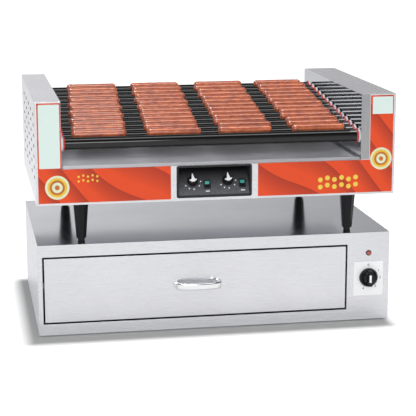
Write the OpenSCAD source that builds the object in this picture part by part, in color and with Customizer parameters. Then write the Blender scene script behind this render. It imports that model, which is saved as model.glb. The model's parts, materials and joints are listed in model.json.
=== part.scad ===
// Slanted hot dog roller grill on a heated bun drawer.
// Millimetres. +X is to the right seen from the front, the front faces -Y, +Z is up.
// The origin is on the counter, under the middle of the whole set.

/* [Bun drawer cabinet] */
// Width of the cabinet
cab_w = 914; // [900:1:930]
// Depth of the cabinet
cab_d = 571; // [550:1:600]
// Height of the cabinet's casing
cab_h = 234; // [225:1:250]
// Thickness of the stainless sheet
sheet = 1.5; // [1:0.1:2]
// Height of the rubber feet
pad_h = 3; // [2:0.5:8]
// Diameter of the rubber feet
pad_d = 34; // [20:1:40]
// Distance of the feet from the cabinet's corners
pad_inset = 42; // [30:1:70]
// Width of the stile left of the drawer
stile_w = 11.5; // [10:0.5:16]
// Width of the control side, right of the drawer
control_w = 113; // [100:1:125]
// Height of the rail under the drawer
rail_low = 29; // [26:1:34]
// Height of the rail over the drawer
rail_high = 31; // [26:1:36]
// Depth of the flanges folded in over and under the drawer
rail_flange = 16; // [10:1:24]

/* [Bun drawer] */
// Gap round the drawer front
drawer_gap = 4.3; // [3:0.1:6]
// Thickness of the folded drawer front
drawer_front_t = 18; // [14:1:24]
// Depth of the drawer pan behind its front
pan_d = 490; // [440:1:505]
// Height of the drawer pan's side walls
pan_h = 112; // [90:1:125]
// Thickness of the pan's sheet
pan_sheet = 1; // [0.8:0.1:1.5]
// Height of the pan's floor over the cabinet's floor
pan_rise = 44; // [40:1:52]
// Width of a fixed drawer rail
rail_w = 11; // [9:0.5:13]
// Height of the slot in a drawer rail
rail_slot = 13; // [11:0.5:16]
// Length of a drawer rail
rail_len = 470; // [420:1:480]
// Height of the rails over the cabinet's floor
rail_rise = 122; // [105:1:130]
// Clearance of the runners in their rails
runner_gap = 0.5; // [0.3:0.1:0.8]
// Length of the chrome pull
pull_l = 122; // [100:1:150]
// How far the pull stands out
pull_out = 34; // [28:1:42]
// Height of the pull
pull_h = 17; // [14:1:26]
// How far the pull sits over the middle of the drawer front
pull_rise = 1.5; // [0:0.5:10]
// Thickness of the pull
pull_t = 7; // [5:0.5:9]

/* [Drawer heat] */
// Diameter of the tubular heater
heater_d = 8; // [6:0.5:10]
// Distance between the heater's two runs
heater_span = 220; // [160:1:260]
// Height of the heater's axis over the cabinet's floor
heater_rise = 22; // [16:1:26]
// Diameter of the drawer's heat knob
dial_knob_d = 50; // [44:1:56]
// How far the drawer's heat knob stands out
dial_knob_out = 24; // [20:1:30]
// Height of the heat knob's axis over the cabinet's underside
dial_rise = 114; // [100:1:125]
// Distance of the heat knob's axis from the cabinet's right side
dial_inset = 56; // [50:1:60]
// Height of the pilot lamp over the cabinet's underside
lamp_rise = 179; // [170:1:190]
// Diameter of the pilot lamp's lens
lamp_d = 15; // [12:0.5:18]
// Distance of the heater's bend from the drawer pan's left side
heater_inset = 90; // [60:1:140]

/* [Grill body] */
// Width of the grill
grill_w = 914; // [900:1:930]
// Depth of the grill
grill_d = 600; // [585:1:630]
// Height of the grill without its legs
grill_h = 258; // [250:1:280]
// How far the grill's front stands ahead of the cabinet's
overhang = 24; // [10:1:30]
// Height of the legs with their feet
leg_h = 106; // [95:1:130]
// Height of the front panel's band
band_h = 90; // [86:1:96]
// Width of the left end housing
left_w = 64; // [60:1:75]
// Width of the right end housing, which holds the drive
right_w = 90; // [86:1:100]
// Height of the back panel
back_h = 206; // [150:1:210]
// Height of the crumb tray's walls
tray_h = 8; // [6:0.5:10]
// Depth of the crumb tray
tray_d = 545; // [480:1:560]
// Thickness of the crumb tray's sheet
tray_t = 1; // [0.8:0.1:1.5]
// Depth of the shelf folded back over the front panel's band
shelf_d = 18; // [12:1:24]
// Gap between the crumb tray and the end housings
tray_gap = 2; // [1:0.5:3]
// Width of the ledges that carry the crumb tray
ledge_w = 14; // [10:1:20]
// Running gap between flat faces that slide past each other
slide_gap = 0.4; // [0.3:0.1:0.6]

/* [Vents] */
// Length of a vent slot
vent_l = 32; // [20:1:44]
// Height of a vent slot
vent_h = 7.5; // [4:0.5:9]
// Vent slots along the side
vent_columns = 5; // [3:1:5]
// Vent slots one over another
vent_rows = 7; // [3:1:7]
// Distance between vent columns
vent_pitch_y = 105; // [90:1:110]
// Distance between vent rows
vent_pitch_z = 26.3; // [22:0.1:27]
// Distance of the first vent column behind the grill's front
vent_start = 55; // [45:1:70]
// Height of the lowest vent row over the grill's underside
vent_rise = 63; // [50:1:70]
// Vent slots across the back panel on each side of its middle
back_vents = 4; // [2:1:4]
// Distance between vent slots across the back panel
back_vent_pitch = 75; // [60:1:80]
// Height of the back panel's lower vent row over the grill's underside
back_vent_rise = 80; // [60:1:84]
// Distance between the back panel's two vent rows
back_vent_step = 60; // [40:1:60]

/* [Legs] */
// Distance of the legs from the grill's middle
leg_x = 345; // [320:1:355]
// Distance of the front legs behind the grill's front
leg_front = 40; // [36:1:60]
// Distance of the rear legs ahead of the grill's back
leg_rear = 40; // [36:1:60]
// Width of a leg at its top
leg_top_w = 37; // [34:1:39]
// Width of a leg at its bottom
leg_low_w = 24; // [22:1:28]
// Diameter of a leg's flange
leg_flange_d = 44; // [43:1:56]
// Thickness of a leg's flange
leg_flange_t = 4; // [3:0.5:6]
// Visible height of a levelling foot
foot_h = 14; // [10:1:22]
// Diameter of a levelling foot
foot_d = 19; // [16:0.5:21]
// Diameter of a levelling foot's stud
stud_d = 10; // [8:0.5:11]
// Length of a levelling foot's stud
stud_l = 22; // [16:1:30]

/* [Rollers] */
// Number of rollers
roller_count = 14; // [10:1:14]
// Distance between rollers along the slope
roller_pitch = 40; // [39:0.1:41]
// Diameter of a roller
roller_d = 30; // [28:0.5:31]
// Wall of a roller's tube
roller_wall = 1.6; // [1:0.1:2.5]
// Slope of the row of rollers in degrees
slope = 6.7; // [4:0.1:8]
// Distance of the front roller's axis behind the grill's front
roller_back = 17.5; // [17:0.5:24]
// Height of the front roller's axis over the grill's underside
roller_rise = 151; // [146:1:165]
// Diameter of a roller's necks
neck_d = 14; // [12:0.5:15]
// Bore through a roller's necks
neck_bore = 10; // [9:0.1:10.5]
// Length of a roller's end plug
plug_l = 10; // [6:1:16]
// Diameter of the heater rods in the rollers
rod_d = 7; // [6:0.1:8]
// Diameter of the white bushes' flange
bush_d = 36; // [34:0.5:37]
// Thickness of the white bushes' flange
bush_t = 5.5; // [4:0.5:7]
// Outer diameter of the bushes' sleeve
sleeve_d = 22; // [19:0.5:26]
// Running clearance of a neck in its bush
bush_gap = 0.05; // [0.02:0.01:0.1]
// Outer diameter of the red seal rings
seal_d = 37; // [34:0.5:38]
// Thickness of the red seal rings
seal_t = 4; // [3:0.5:5]
// Clearance of a roller in its seal ring
seal_gap = 0.6; // [0.4:0.1:1]

/* [Drive] */
// Pitch of the roller chain
chain_pitch = 6.35; // [6:0.01:6.4]
// Teeth of each sprocket
teeth = 12; // [11:1:12]
// Height of the chain's side plates
chain_plate_h = 5.9; // [5:0.1:6]
// Thickness of the chain's side plates
chain_plate_t = 0.8; // [0.6:0.1:1]
// Width between the chain's side plates
chain_inner_w = 3.6; // [3.4:0.1:4]
// Diameter of the chain's rollers
chain_roller_d = 3.3; // [3:0.1:3.4]
// Thickness of the sprockets
sprocket_t = 2.8; // [2.4:0.1:3]
// Gap between the sprockets' teeth and the chain
tooth_gap = 0.5; // [0.4:0.1:0.6]
// Distance of the sprockets' middle plane behind the right inner panel
drive_x = 12; // [11:0.5:15]
// Diameter of the motor's shaft
shaft_d = 8; // [6:0.5:9]
// Distance of the gearbox behind the right inner panel
gearbox_x = 20; // [19:0.5:24]
// Thickness of the gearbox
gearbox_t = 26; // [22:1:30]
// Diameter of the motor
motor_d = 58; // [50:1:62]
// Length of the motor
motor_l = 34; // [28:1:36]
// Width of the gearbox
gearbox_w = 68; // [60:1:76]
// Height of the gearbox
gearbox_h = 84; // [76:1:90]
// Height of the gearbox over its shaft
gearbox_over = 8; // [7:0.5:9]

/* [Cord inlets] */
// Distance of the cabinet's cord inlet from its right side
inlet_inset = 57; // [40:1:110]
// Height of the cabinet's cord inlet over its underside
inlet_rise = 37; // [30:1:60]
// Distance of the grill's cord inlet from its right side
grill_inlet_inset = 177; // [140:1:250]
// Height of the grill's cord inlet over its underside
grill_inlet_rise = 30; // [24:1:50]
// Diameter of the holes for the cord inlets
inlet_hole_d = 20; // [18:0.5:24]
// How far a cord inlet stands out of the back
inlet_out = 12; // [8:1:16]
// How far a cord inlet reaches into the back
inlet_in = 8; // [6:1:12]
// Bore of a cord inlet
cord_bore = 8; // [6:0.5:10]

/* [Controls] */
// Width of the control bezel
bezel_w = 192; // [180:1:200]
// Height of the control bezel
bezel_h = 82; // [78:1:84]
// Distance of the bezel's middle left of the grill's middle
bezel_left = 11.7; // [0:0.1:20]
// Height of the bezel over the grill's underside
bezel_rise = 7.4; // [3:0.1:7.5]
// How far the bezel's frame stands out
bezel_out = 2; // [1:0.5:3]
// Width of the bezel's frame
bezel_edge = 5; // [4:0.5:7]
// Wall of the bezel's pocket
bezel_wall = 2.5; // [2:0.1:3]
// Corner radius of the bezel's frame
bezel_r = 5; // [3:0.5:6]
// Lean of the control face from upright, in degrees
face_tilt = 30; // [25:1:34]
// Diameter of the heat knobs
knob_d = 28; // [24:1:30]
// How far the heat knobs stand out of the control face
knob_out = 17; // [14:1:20]
// Distance of the knobs up the control face
knob_up = 37.5; // [34:0.5:40]
// Distance between the two knobs
knob_pitch = 90; // [80:1:95]
// How far the pair of knobs sits left of the bezel's middle
knob_shift = 7.5; // [5:0.5:10]
// Distance from a knob to the switch on its right
switch_dx = 37; // [34:1:40]
// Distance of the switches up the control face
switch_up = 29; // [25:0.5:32]
// Width of a rocker
rocker_w = 11; // [9:0.5:12]
// Height of a rocker
rocker_h = 17; // [14:0.5:19]
// Clearance round a rocker
rocker_gap = 0.7; // [0.5:0.1:1]
// Half the angle that a rocker tilts through, in degrees
rocker_tilt = 7; // [5:1:9]
// Diameter of the control shafts
control_shaft_d = 6; // [5:0.5:7]

/* [Hot dogs] */
// Diameter of a hot dog
dog_d = 22; // [20:0.5:25]
// Length of a hot dog
dog_l = 138; // [120:1:150]
// Hot dogs side by side on each pair of rollers
dog_columns = 4; // [1:1:4]
// Distance between hot dogs side by side
dog_pitch = 186; // [170:1:190]
// Gap between a hot dog and its rollers
dog_gap = 0.4; // [0.3:0.1:0.6]
// How far the hot dogs lie to the right of the rollers' middle
dog_shift = 4; // [0:1:8]
// How far each row lies to the right of the one ahead of it
dog_drift = 1.4; // [0:0.1:2.5]
// How much closer together the hot dogs of the back row lie
dog_fan = 8; // [0:1:12]
// How unevenly the hot dogs are laid
dog_stray = 3; // [0:0.5:4]

/* [Hidden] */

function two_digits(k) = k < 10 ? str("0", k) : str(k);
ROLLERS = [for (k = [1:roller_count]) str("roller_", two_digits(k))];
DOG_ROWS = [for (k = [1:roller_count - 1]) str("hot_dogs_", two_digits(k))];

// Colours
steel = [0.80, 0.81, 0.83];
bright_steel = [0.88, 0.89, 0.91];
chrome_look = [0.92, 0.93, 0.95];
black = [0.06, 0.06, 0.07];
dark_grey = [0.18, 0.18, 0.19];
motor_grey = [0.45, 0.47, 0.50];
red = [0.75, 0.08, 0.06];
white = [0.93, 0.92, 0.88];
green = [0.10, 0.62, 0.50];
sausage = [0.80, 0.38, 0.22];
copper_look = [0.48, 0.36, 0.30];

round_fn = 48;
overcut = 1;

// Cabinet, worked out
cab_x1 = cab_w / 2;
cab_x0 = -cab_x1;
cab_y0 = (pull_out + overhang - grill_d - inlet_out) / 2;
cab_y1 = cab_y0 + cab_d;
cab_z0 = pad_h;
cab_top = cab_z0 + cab_h;
cab_floor = cab_z0 + sheet;
bay_x0 = cab_x0 + stile_w;
bay_x1 = cab_x1 - control_w;
bay_z0 = cab_z0 + rail_low;
bay_z1 = cab_top - rail_high;
inside_y0 = cab_y0 + sheet;
inside_y1 = cab_y1 - sheet;
wall_stop = 20;
inlet_x = cab_x1 - inlet_inset;
dial_x = cab_x1 - dial_inset;
dial_z = cab_z0 + dial_rise;
lamp_z = cab_z0 + lamp_rise;
inlet_z = cab_z0 + inlet_rise;
dial_stand = 3.5;
dial_bush_d = 12;
dial_box = 44;
dial_box_deep = 32;
dial_shaft_in = 14;
dial_skirt = 9;
dial_taper = 2;
dial_grip_w = 12;
dial_grip_inset = 3;
lamp_shoulder = 1.2;
lamp_fit = 0.2;
lamp_rim = 1.5;
lamp_dome = 4.5;
lamp_deep = 24;
blind = 2;

// Drawer, worked out
front_x0 = bay_x0 + drawer_gap;
front_x1 = bay_x1 - drawer_gap;
front_z0 = bay_z0 + drawer_gap;
front_z1 = bay_z1 - drawer_gap;
front_back_y = cab_y0 + drawer_front_t;
pan_x0 = bay_x0 + rail_w + slide_gap;
pan_x1 = bay_x1 - rail_w - slide_gap;
pan_z0 = cab_floor + pan_rise;
rail_z = cab_floor + rail_rise;
rail_lead = 6;
rail_y0 = front_back_y + 2 * rail_lead;
runner_h = rail_slot - 2 * runner_gap;
runner_w = rail_w + slide_gap - sheet - 2 * runner_gap;
pull_x = (front_x0 + front_x1) / 2;
pull_z = (front_z0 + front_z1) / 2 + pull_rise;
pull_end = 3;
heater_z = cab_floor + heater_rise;
heater_y = (cab_y0 + cab_y1) / 2;
heater_bend_x = pan_x0 + heater_inset + heater_span / 2;
heater_over = 30;
saddle_w = 12;
saddle_inset = 60;

// Grill, worked out
gx1 = grill_w / 2;
gx0 = -gx1;
gy0 = cab_y0 - overhang;
gy1 = gy0 + grill_d;
gz0 = cab_top + leg_h;
gz1 = gz0 + grill_h;
band_top = gz0 + band_h;
left_in = gx0 + left_w;
right_in = gx1 - right_w;
behind_front = gy0 + sheet;
pan_floor = gz0 + sheet;
ledge_z = band_top - sheet;
tray_z = band_top + slide_gap;
leg_y_front = gy0 + leg_front;
leg_y_rear = gy1 - leg_rear;
grill_inlet_x = gx1 - grill_inlet_inset;
grill_inlet_z = gz0 + grill_inlet_rise;
leg_sides = 8;
leg_turn = 180 / leg_sides;

// Row of rollers, worked out
row_y = gy0 + roller_back;
row_z = gz0 + roller_rise;
row_l = (roller_count - 1) * roller_pitch;
roller_r = roller_d / 2;
tube_x0 = left_in + bush_t + slide_gap;
tube_x1 = right_in - bush_t - slide_gap;
sleeve_l = 5.5;
sprocket_x = right_in + drive_x;
neck_over = 1.5;
neck_end_x0 = left_in - sleeve_l - neck_over;
neck_end_x1 = sprocket_x + sprocket_t / 2 + neck_over;
rod_support = 30;
rod_over = 5;
plate_ahead = 10;
plate_behind = 12;
plate_over = 10;
plate_deep = 22;
rod_x0 = left_in - rod_support - rod_over;
rod_x1 = right_in + rod_support + rod_over;
support_fit = 0.1;
dog_r = dog_d / 2;
dog_lift = sqrt(pow(roller_r + dog_r + dog_gap, 2) - pow(roller_pitch / 2, 2));
dog_end = 8;

// Drive, worked out
sprocket_r = chain_pitch / (2 * sin(180 / teeth));
tip_r = sprocket_r - chain_roller_d / 2 - tooth_gap;
tooth_h = 1.3;
root_r = tip_r - tooth_h;
space_low = 1.2;
space_high = 3;
motor_s = row_l / 2;
motor_n = -2 * sprocket_r;
shaft_over = 3;
shaft_in = 14;
post_d = 8;
post_inset = 8;
post_drop = 30;

// Control face, worked out
bezel_x = -bezel_left;
bezel_z0 = gz0 + bezel_rise;
bezel_z1 = bezel_z0 + bezel_h;
pocket_x0 = bezel_x - bezel_w / 2 + bezel_edge;
pocket_x1 = bezel_x + bezel_w / 2 - bezel_edge;
pocket_z0 = bezel_z0 + bezel_edge;
pocket_z1 = bezel_z1 - bezel_edge;
face_back = 2.5;
face_y = gy0 + face_back;
knob_x = [for (side = [-1, 1]) bezel_x - knob_shift + side * knob_pitch / 2];
knob_lift = 1;
knob_skirt = 5;
knob_taper = 1.5;
knob_core_inset = 4;
pointer_w = 5;
pointer_inset = 2;
pointer_tail = 5.5;
face_box = 30;
face_box_deep = 24;
face_bush_d = 10;
face_shaft_in = 12;
panel_fit = 0.3;
rocker_pin_d = 2.4;
rocker_deep = 4;
switch_wall = 1;
switch_w = rocker_w + 2 * rocker_gap + 2 * switch_wall;
switch_h = rocker_h + 2 * rocker_gap + 2 * switch_wall;
switch_rim = 1.5;
switch_proud = 1.2;
switch_deep = 16;
switch_back = 2;
rocker_peak = 1;
rocker_dish = 0.5;
rocker_back = 3;
rocker_back_share = 0.7;

// Cord inlets, worked out
collar_over = 4;
collar_t = 5;
neck_in = 2;

// Building blocks

module box(x0, x1, y0, y1, z0, z1) {
    translate([x0, y0, z0]) cube([x1 - x0, y1 - y0, z1 - z0]);
}

module bar_x(r, x0, x1) {
    translate([x0, 0, 0]) rotate([0, 90, 0]) cylinder(r = r, h = x1 - x0, $fn = round_fn);
}

module bar_y(r, y0, y1) {
    translate([0, y0, 0]) rotate([-90, 0, 0]) cylinder(r = r, h = y1 - y0, $fn = round_fn);
}

// A shape drawn in Y and Z, drawn out along X
module profile_x(points, x0, x1) {
    translate([x0, 0, 0]) rotate([90, 0, 90]) linear_extrude(x1 - x0) polygon(points);
}

// Corner points of a rectangle with rounded corners, round its middle
function rounded(w, h, r, steps = 5) = [
    for (corner = [0:3], i = [0:steps])
        let (a = 90 * corner + 90 * i / steps,
             sx = corner == 0 || corner == 3 ? 1 : -1,
             sy = corner < 2 ? 1 : -1)
        [sx * (w / 2 - r) + r * cos(a), sy * (h / 2 - r) + r * sin(a)]];

// Slot with round ends, round its middle
module slot(l, h) {
    square([l - h, h], center = true);
    for (side = [-1, 1]) translate([side * (l - h) / 2, 0]) circle(d = h, $fn = 24);
}

// Places its children on roller k's axis, counted from 0 at the front
module at_roller(k) {
    translate([0, row_y + k * roller_pitch * cos(slope), row_z + k * roller_pitch * sin(slope)])
        children();
}

// Y runs along the row of rollers and Z square to it
module on_row() {
    translate([0, row_y, row_z]) rotate([slope, 0, 0]) children();
}

// Z runs up the control face and -Y out of it
module on_face(x, up) {
    translate([x, face_y, pocket_z0]) rotate([-face_tilt, 0, 0]) translate([0, 0, up]) children();
}

// Bun drawer cabinet

module cabinet_shell() {
    color(steel) difference() {
        box(cab_x0, cab_x1, inside_y0, cab_y1, cab_z0, cab_top);
        box(cab_x0 + sheet, cab_x1 - sheet, inside_y0 - overcut, inside_y1,
            cab_z0 - overcut, cab_top - sheet);
        translate([inlet_x, 0, inlet_z]) bar_y(inlet_hole_d / 2, inside_y1 - overcut, cab_y1 + overcut);
    }
}

module cabinet_front() {
    color(bright_steel) {
        difference() {
            box(cab_x0, cab_x1, cab_y0, inside_y0, cab_z0, cab_top);
            box(bay_x0, bay_x1, cab_y0 - overcut, inside_y0 + overcut, bay_z0, bay_z1);
            for (hole = [[dial_z, dial_bush_d / 2 + panel_fit],
                         [lamp_z, lamp_d / 2 - lamp_shoulder + lamp_fit]])
                translate([dial_x, 0, hole[0]]) bar_y(hole[1], cab_y0 - overcut, inside_y0 + overcut);
        }
        for (z = [bay_z0 - sheet, bay_z1])
            box(bay_x0, bay_x1, inside_y0, inside_y0 + rail_flange, z, z + sheet);
    }
}

module cabinet_base() {
    color(steel) {
        difference() {
            union() {
                box(cab_x0 + sheet, cab_x1 - sheet, inside_y0, inside_y1, cab_z0, cab_floor);
                for (x = [bay_x0 - sheet, bay_x1])
                    box(x, x + sheet, inside_y0, inside_y1 - wall_stop, cab_floor - overcut / 2, bay_z1);
            }
            for (side = [-1, 1])
                translate([0, heater_y + side * heater_span / 2, heater_z])
                    bar_x(heater_d / 2 + support_fit, bay_x1 - overcut, bay_x1 + sheet + overcut);
        }
        for (x = [heater_bend_x + saddle_inset, bay_x1 - saddle_inset], side = [-1, 1])
            translate([x, heater_y + side * heater_span / 2, 0])
                box(-saddle_w / 2, saddle_w / 2, -saddle_w / 2, saddle_w / 2,
                    cab_floor - overcut / 2, heater_z - heater_d / 2 - support_fit);
    }
}

module cabinet_feet() {
    color(black)
        for (sx = [-1, 1], sy = [-1, 1])
            translate([sx * (cab_w / 2 - pad_inset), sy * (cab_d / 2 - pad_inset), 0])
                cylinder(d = pad_d, h = pad_h, $fn = round_fn);
}

module drawer_front() {
    color(bright_steel) difference() {
        box(front_x0, front_x1, cab_y0, front_back_y, front_z0, front_z1);
        box(front_x0 + sheet, front_x1 - sheet, cab_y0 + sheet, front_back_y + overcut,
            front_z0 + sheet, front_z1 - sheet);
    }
}

module drawer_pan() {
    pan_y1 = front_back_y + pan_d;
    liner_y1 = front_back_y + pan_sheet;
    color(steel) {
        difference() {
            union() {
                box(front_x0, front_x1, front_back_y, liner_y1, front_z0, front_z1);
                box(pan_x0, pan_x1, front_back_y, pan_y1, pan_z0, pan_z0 + pan_h);
            }
            box(pan_x0 + pan_sheet, pan_x1 - pan_sheet, liner_y1, pan_y1 - pan_sheet,
                pan_z0 + pan_sheet, pan_z0 + pan_h + overcut);
        }
        for (x = [pan_x0 - runner_w, pan_x1 - pan_sheet / 2])
            box(x, x + runner_w + pan_sheet / 2, rail_y0, pan_y1,
                rail_z - runner_h / 2, rail_z + runner_h / 2);
    }
}

// Outline of the pull seen from above: a flat bow, its ends on the drawer front
function bow(half, out, steps = 20) = [
    for (i = [0:steps])
        let (a = 180 * i / steps, c = cos(a), s = sin(a))
        [half * sign(c) * pow(abs(c), 0.8), -out * pow(abs(s), 0.6)]];

module drawer_pull() {
    color(chrome_look)
        translate([pull_x, cab_y0, pull_z - pull_h / 2])
            linear_extrude(pull_h) difference() {
                polygon(bow(pull_l / 2, pull_out));
                translate([0, overcut / 10]) polygon(bow(pull_l / 2 - pull_t - pull_end, pull_out - pull_t));
            }
}

module drawer_rails() {
    color(steel)
        for (side = [0, 1])
            translate([side == 0 ? bay_x0 : bay_x1, 0, 0]) mirror([side, 0, 0])
                difference() {
                    box(0, rail_w, rail_y0 - rail_lead, rail_y0 + rail_len,
                        rail_z - rail_slot / 2 - sheet, rail_z + rail_slot / 2 + sheet);
                    box(sheet, rail_w + overcut, rail_y0 - rail_lead - overcut, rail_y0 + rail_len + overcut,
                        rail_z - rail_slot / 2, rail_z + rail_slot / 2);
                }
}

// Square body behind a panel, with a threaded bush that comes out through it, bored for a knob's shaft
module control_body(w, from, to, bush, bush_out, shaft_in) {
    difference() {
        union() {
            box(-w / 2, w / 2, from, to, -w / 2, w / 2);
            bar_y(bush / 2, -bush_out, from + overcut);
        }
        bar_y(control_shaft_d / 2 + bush_gap, -bush_out - overcut, shaft_in + blind);
    }
}

module rotary_controls() {
    color(dark_grey) {
        translate([dial_x, inside_y0, dial_z])
            control_body(dial_box, 0, dial_box_deep, dial_bush_d,
                         sheet + dial_stand - slide_gap, dial_shaft_in);
        for (x = knob_x) on_face(x, knob_up)
            control_body(face_box, bezel_wall, face_box_deep, face_bush_d,
                         knob_lift - slide_gap, face_shaft_in);
    }
}

module dial_knob() {
    r = dial_knob_d / 2;
    y0 = cab_y0 - dial_stand;
    color(black) translate([dial_x, 0, dial_z]) {
        translate([0, y0, 0]) rotate([90, 0, 0])
            cylinder(r1 = r, r2 = r - dial_taper, h = dial_skirt, $fn = round_fn);
        box(-dial_grip_w / 2, dial_grip_w / 2, cab_y0 - dial_knob_out, y0 - dial_skirt / 2,
            dial_grip_inset - r, r - dial_grip_inset);
        bar_y(control_shaft_d / 2, y0 - overcut, inside_y0 + dial_shaft_in);
    }
}

// Half section of the lamp: a body behind the plate and a domed lens before it
module pilot_lamp() {
    r = lamp_d / 2;
    body_r = r - lamp_shoulder;
    color(red) translate([dial_x, cab_y0, lamp_z]) rotate([90, 0, 0])
        rotate_extrude($fn = round_fn)
            polygon(concat([[0, -lamp_deep], [body_r, -lamp_deep], [body_r, 0], [r, 0], [r, lamp_rim]],
                           [for (a = [15:15:75]) [(r - lamp_fit) * cos(a), lamp_rim + lamp_dome * sin(a)]],
                           [[0, lamp_rim + lamp_dome]]));
}

// Tubular heaters: a straight rod in each roller and a long hairpin under the drawer
module heating_elements() {
    color(copper_look) {
        for (k = [0:roller_count - 1]) at_roller(k) bar_x(rod_d / 2, rod_x0, rod_x1);
        for (side = [-1, 1])
            translate([0, heater_y + side * heater_span / 2, heater_z])
                bar_x(heater_d / 2, heater_bend_x, bay_x1 + heater_over);
        translate([heater_bend_x, heater_y, heater_z]) rotate([0, 0, 90])
            rotate_extrude(angle = 180, $fn = 96)
                translate([heater_span / 2, 0]) circle(d = heater_d, $fn = 24);
    }
}

// Grill casing

module front_panel() {
    color(bright_steel) difference() {
        union() {
            box(gx0, gx1, gy0, behind_front, gz0, band_top);
            box(gx0, left_in, gy0, behind_front, gz0, gz1);
            box(right_in, gx1, gy0, behind_front, gz0, gz1);
            box(left_in, right_in, gy0, gy0 + shelf_d, ledge_z, band_top);
        }
        box(pocket_x0 - bezel_wall - panel_fit, pocket_x1 + bezel_wall + panel_fit,
            gy0 - overcut, behind_front + overcut,
            pocket_z0 - bezel_wall - panel_fit, pocket_z1 + bezel_wall + panel_fit);
    }
}

module chassis_pan() {
    color(steel) difference() {
        union() {
            box(gx0 + sheet, gx1 - sheet, behind_front, gy1 - sheet, gz0, pan_floor);
            box(left_in, right_in, gy1 - sheet, gy1, gz0, gz0 + back_h);
        }
        translate([(left_in + right_in) / 2, gy1 + overcut, gz0]) rotate([90, 0, 0])
            linear_extrude(sheet + 2 * overcut)
                for (i = [-back_vents:back_vents], row = [0, 1])
                    translate([i * back_vent_pitch, back_vent_rise + row * back_vent_step])
                        slot(vent_l, vent_h);
        translate([grill_inlet_x, 0, grill_inlet_z])
            bar_y(inlet_hole_d / 2, gy1 - sheet - overcut, gy1 + overcut);
    }
}

// Sheet shell over one end: its outer side, top and back
module end_cover(outer_x, inner_x) {
    side = outer_x < inner_x ? 1 : -1;
    low = min(outer_x, inner_x);
    high = max(outer_x, inner_x);
    difference() {
        box(low, high, behind_front, gy1, gz0, gz1);
        box(side > 0 ? low + sheet : low - overcut, side > 0 ? high + overcut : high - sheet,
            behind_front - overcut, gy1 - sheet, gz0 - overcut, gz1 - sheet);
        translate([outer_x - sheet - overcut, gy0 + vent_start, gz0 + vent_rise]) rotate([90, 0, 90])
            linear_extrude(2 * (sheet + overcut))
                for (column = [0:vent_columns - 1], row = [0:vent_rows - 1])
                    translate([column * vent_pitch_y, row * vent_pitch_z]) slot(vent_l, vent_h);
    }
}

module left_cover() {
    color(steel) end_cover(gx0, left_in);
}

module right_cover() {
    color(steel) end_cover(gx1, right_in);
}

// Inner panel with its bush holes, its ledge for the tray and its outboard support for the heater rods.
// It is drawn for the right end, with x = 0 on the face towards the rollers.
module inner_panel(web_n, plate_n0, plate_n1) {
    difference() {
        union() {
            box(0, sheet, behind_front, gy1 - sheet, pan_floor, gz1 - sheet);
            box(-ledge_w, overcut / 2, gy0 + shelf_d + panel_fit, gy0 + tray_d, ledge_z, band_top);
            on_row() {
                box(rod_support, rod_support + sheet,
                    -plate_ahead, row_l + plate_behind, plate_n0, plate_n1);
                box(overcut / 2, rod_support + sheet, -plate_ahead, row_l + plate_behind, web_n, web_n + sheet);
            }
        }
        for (k = [0:roller_count - 1]) at_roller(k) {
            bar_x(sleeve_d / 2 + support_fit / 2, -overcut, sheet + overcut);
            bar_x(rod_d / 2 + support_fit,
                  rod_support - overcut, rod_support + sheet + overcut);
        }
    }
}

module left_inner_panel() {
    color(bright_steel) translate([left_in, 0, 0]) mirror([1, 0, 0])
        inner_panel(-plate_deep, -plate_deep, plate_over);
}

module right_inner_panel() {
    color(bright_steel) translate([right_in, 0, 0]) inner_panel(plate_deep, -plate_over, plate_deep + sheet);
}

module crumb_tray() {
    color(steel) difference() {
        box(left_in + tray_gap, right_in - tray_gap, gy0, gy0 + tray_d, tray_z, tray_z + tray_h);
        box(left_in + tray_gap + tray_t, right_in - tray_gap - tray_t, gy0 + tray_t, gy0 + tray_d - tray_t,
            tray_z + tray_t, tray_z + tray_h + overcut);
    }
}

// Legs

module at_legs() {
    for (sx = [-1, 1], y = [leg_y_front, leg_y_rear]) translate([sx * leg_x, y, 0]) children();
}

module legs() {
    low = cab_top + foot_h;
    flange_z = gz0 - leg_flange_t;
    color(black) at_legs() difference() {
        union() {
            translate([0, 0, flange_z]) cylinder(d = leg_flange_d, h = leg_flange_t, $fn = round_fn);
            translate([0, 0, low]) rotate([0, 0, leg_turn])
                cylinder(d1 = leg_low_w / cos(leg_turn), d2 = leg_top_w / cos(leg_turn),
                         h = flange_z - low + overcut / 2, $fn = leg_sides);
        }
        translate([0, 0, low - overcut])
            cylinder(d = stud_d + 2 * support_fit, h = stud_l + 2 * overcut, $fn = round_fn);
    }
}

module leg_feet() {
    color(dark_grey) at_legs() translate([0, 0, cab_top]) {
        cylinder(d = foot_d, h = foot_h, $fn = round_fn);
        cylinder(d = stud_d, h = foot_h + stud_l, $fn = round_fn);
    }
}

// Rollers and their bearings

module sprocket() {
    linear_extrude(sprocket_t, center = true) difference() {
        circle(r = tip_r, $fn = round_fn);
        for (i = [0:teeth - 1])
            rotate(360 / teeth * i)
                polygon([[root_r, -space_low / 2], [tip_r + overcut, -space_high / 2],
                         [tip_r + overcut, space_high / 2], [root_r, space_low / 2]]);
    }
}

module roller(k) {
    color(black) at_roller(k) difference() {
        union() {
            bar_x(roller_r, tube_x0, tube_x1);
            bar_x(neck_d / 2, neck_end_x0, neck_end_x1);
            translate([sprocket_x, 0, 0]) rotate([0, 90, 0]) sprocket();
        }
        bar_x(neck_bore / 2, neck_end_x0 - overcut, neck_end_x1 + overcut);
        bar_x(roller_r - roller_wall, tube_x0 + plug_l, tube_x1 - plug_l);
    }
}

module at_ends() {
    for (k = [0:roller_count - 1]) at_roller(k) {
        translate([left_in, 0, 0]) mirror([1, 0, 0]) children();
        translate([right_in, 0, 0]) children();
    }
}

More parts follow.
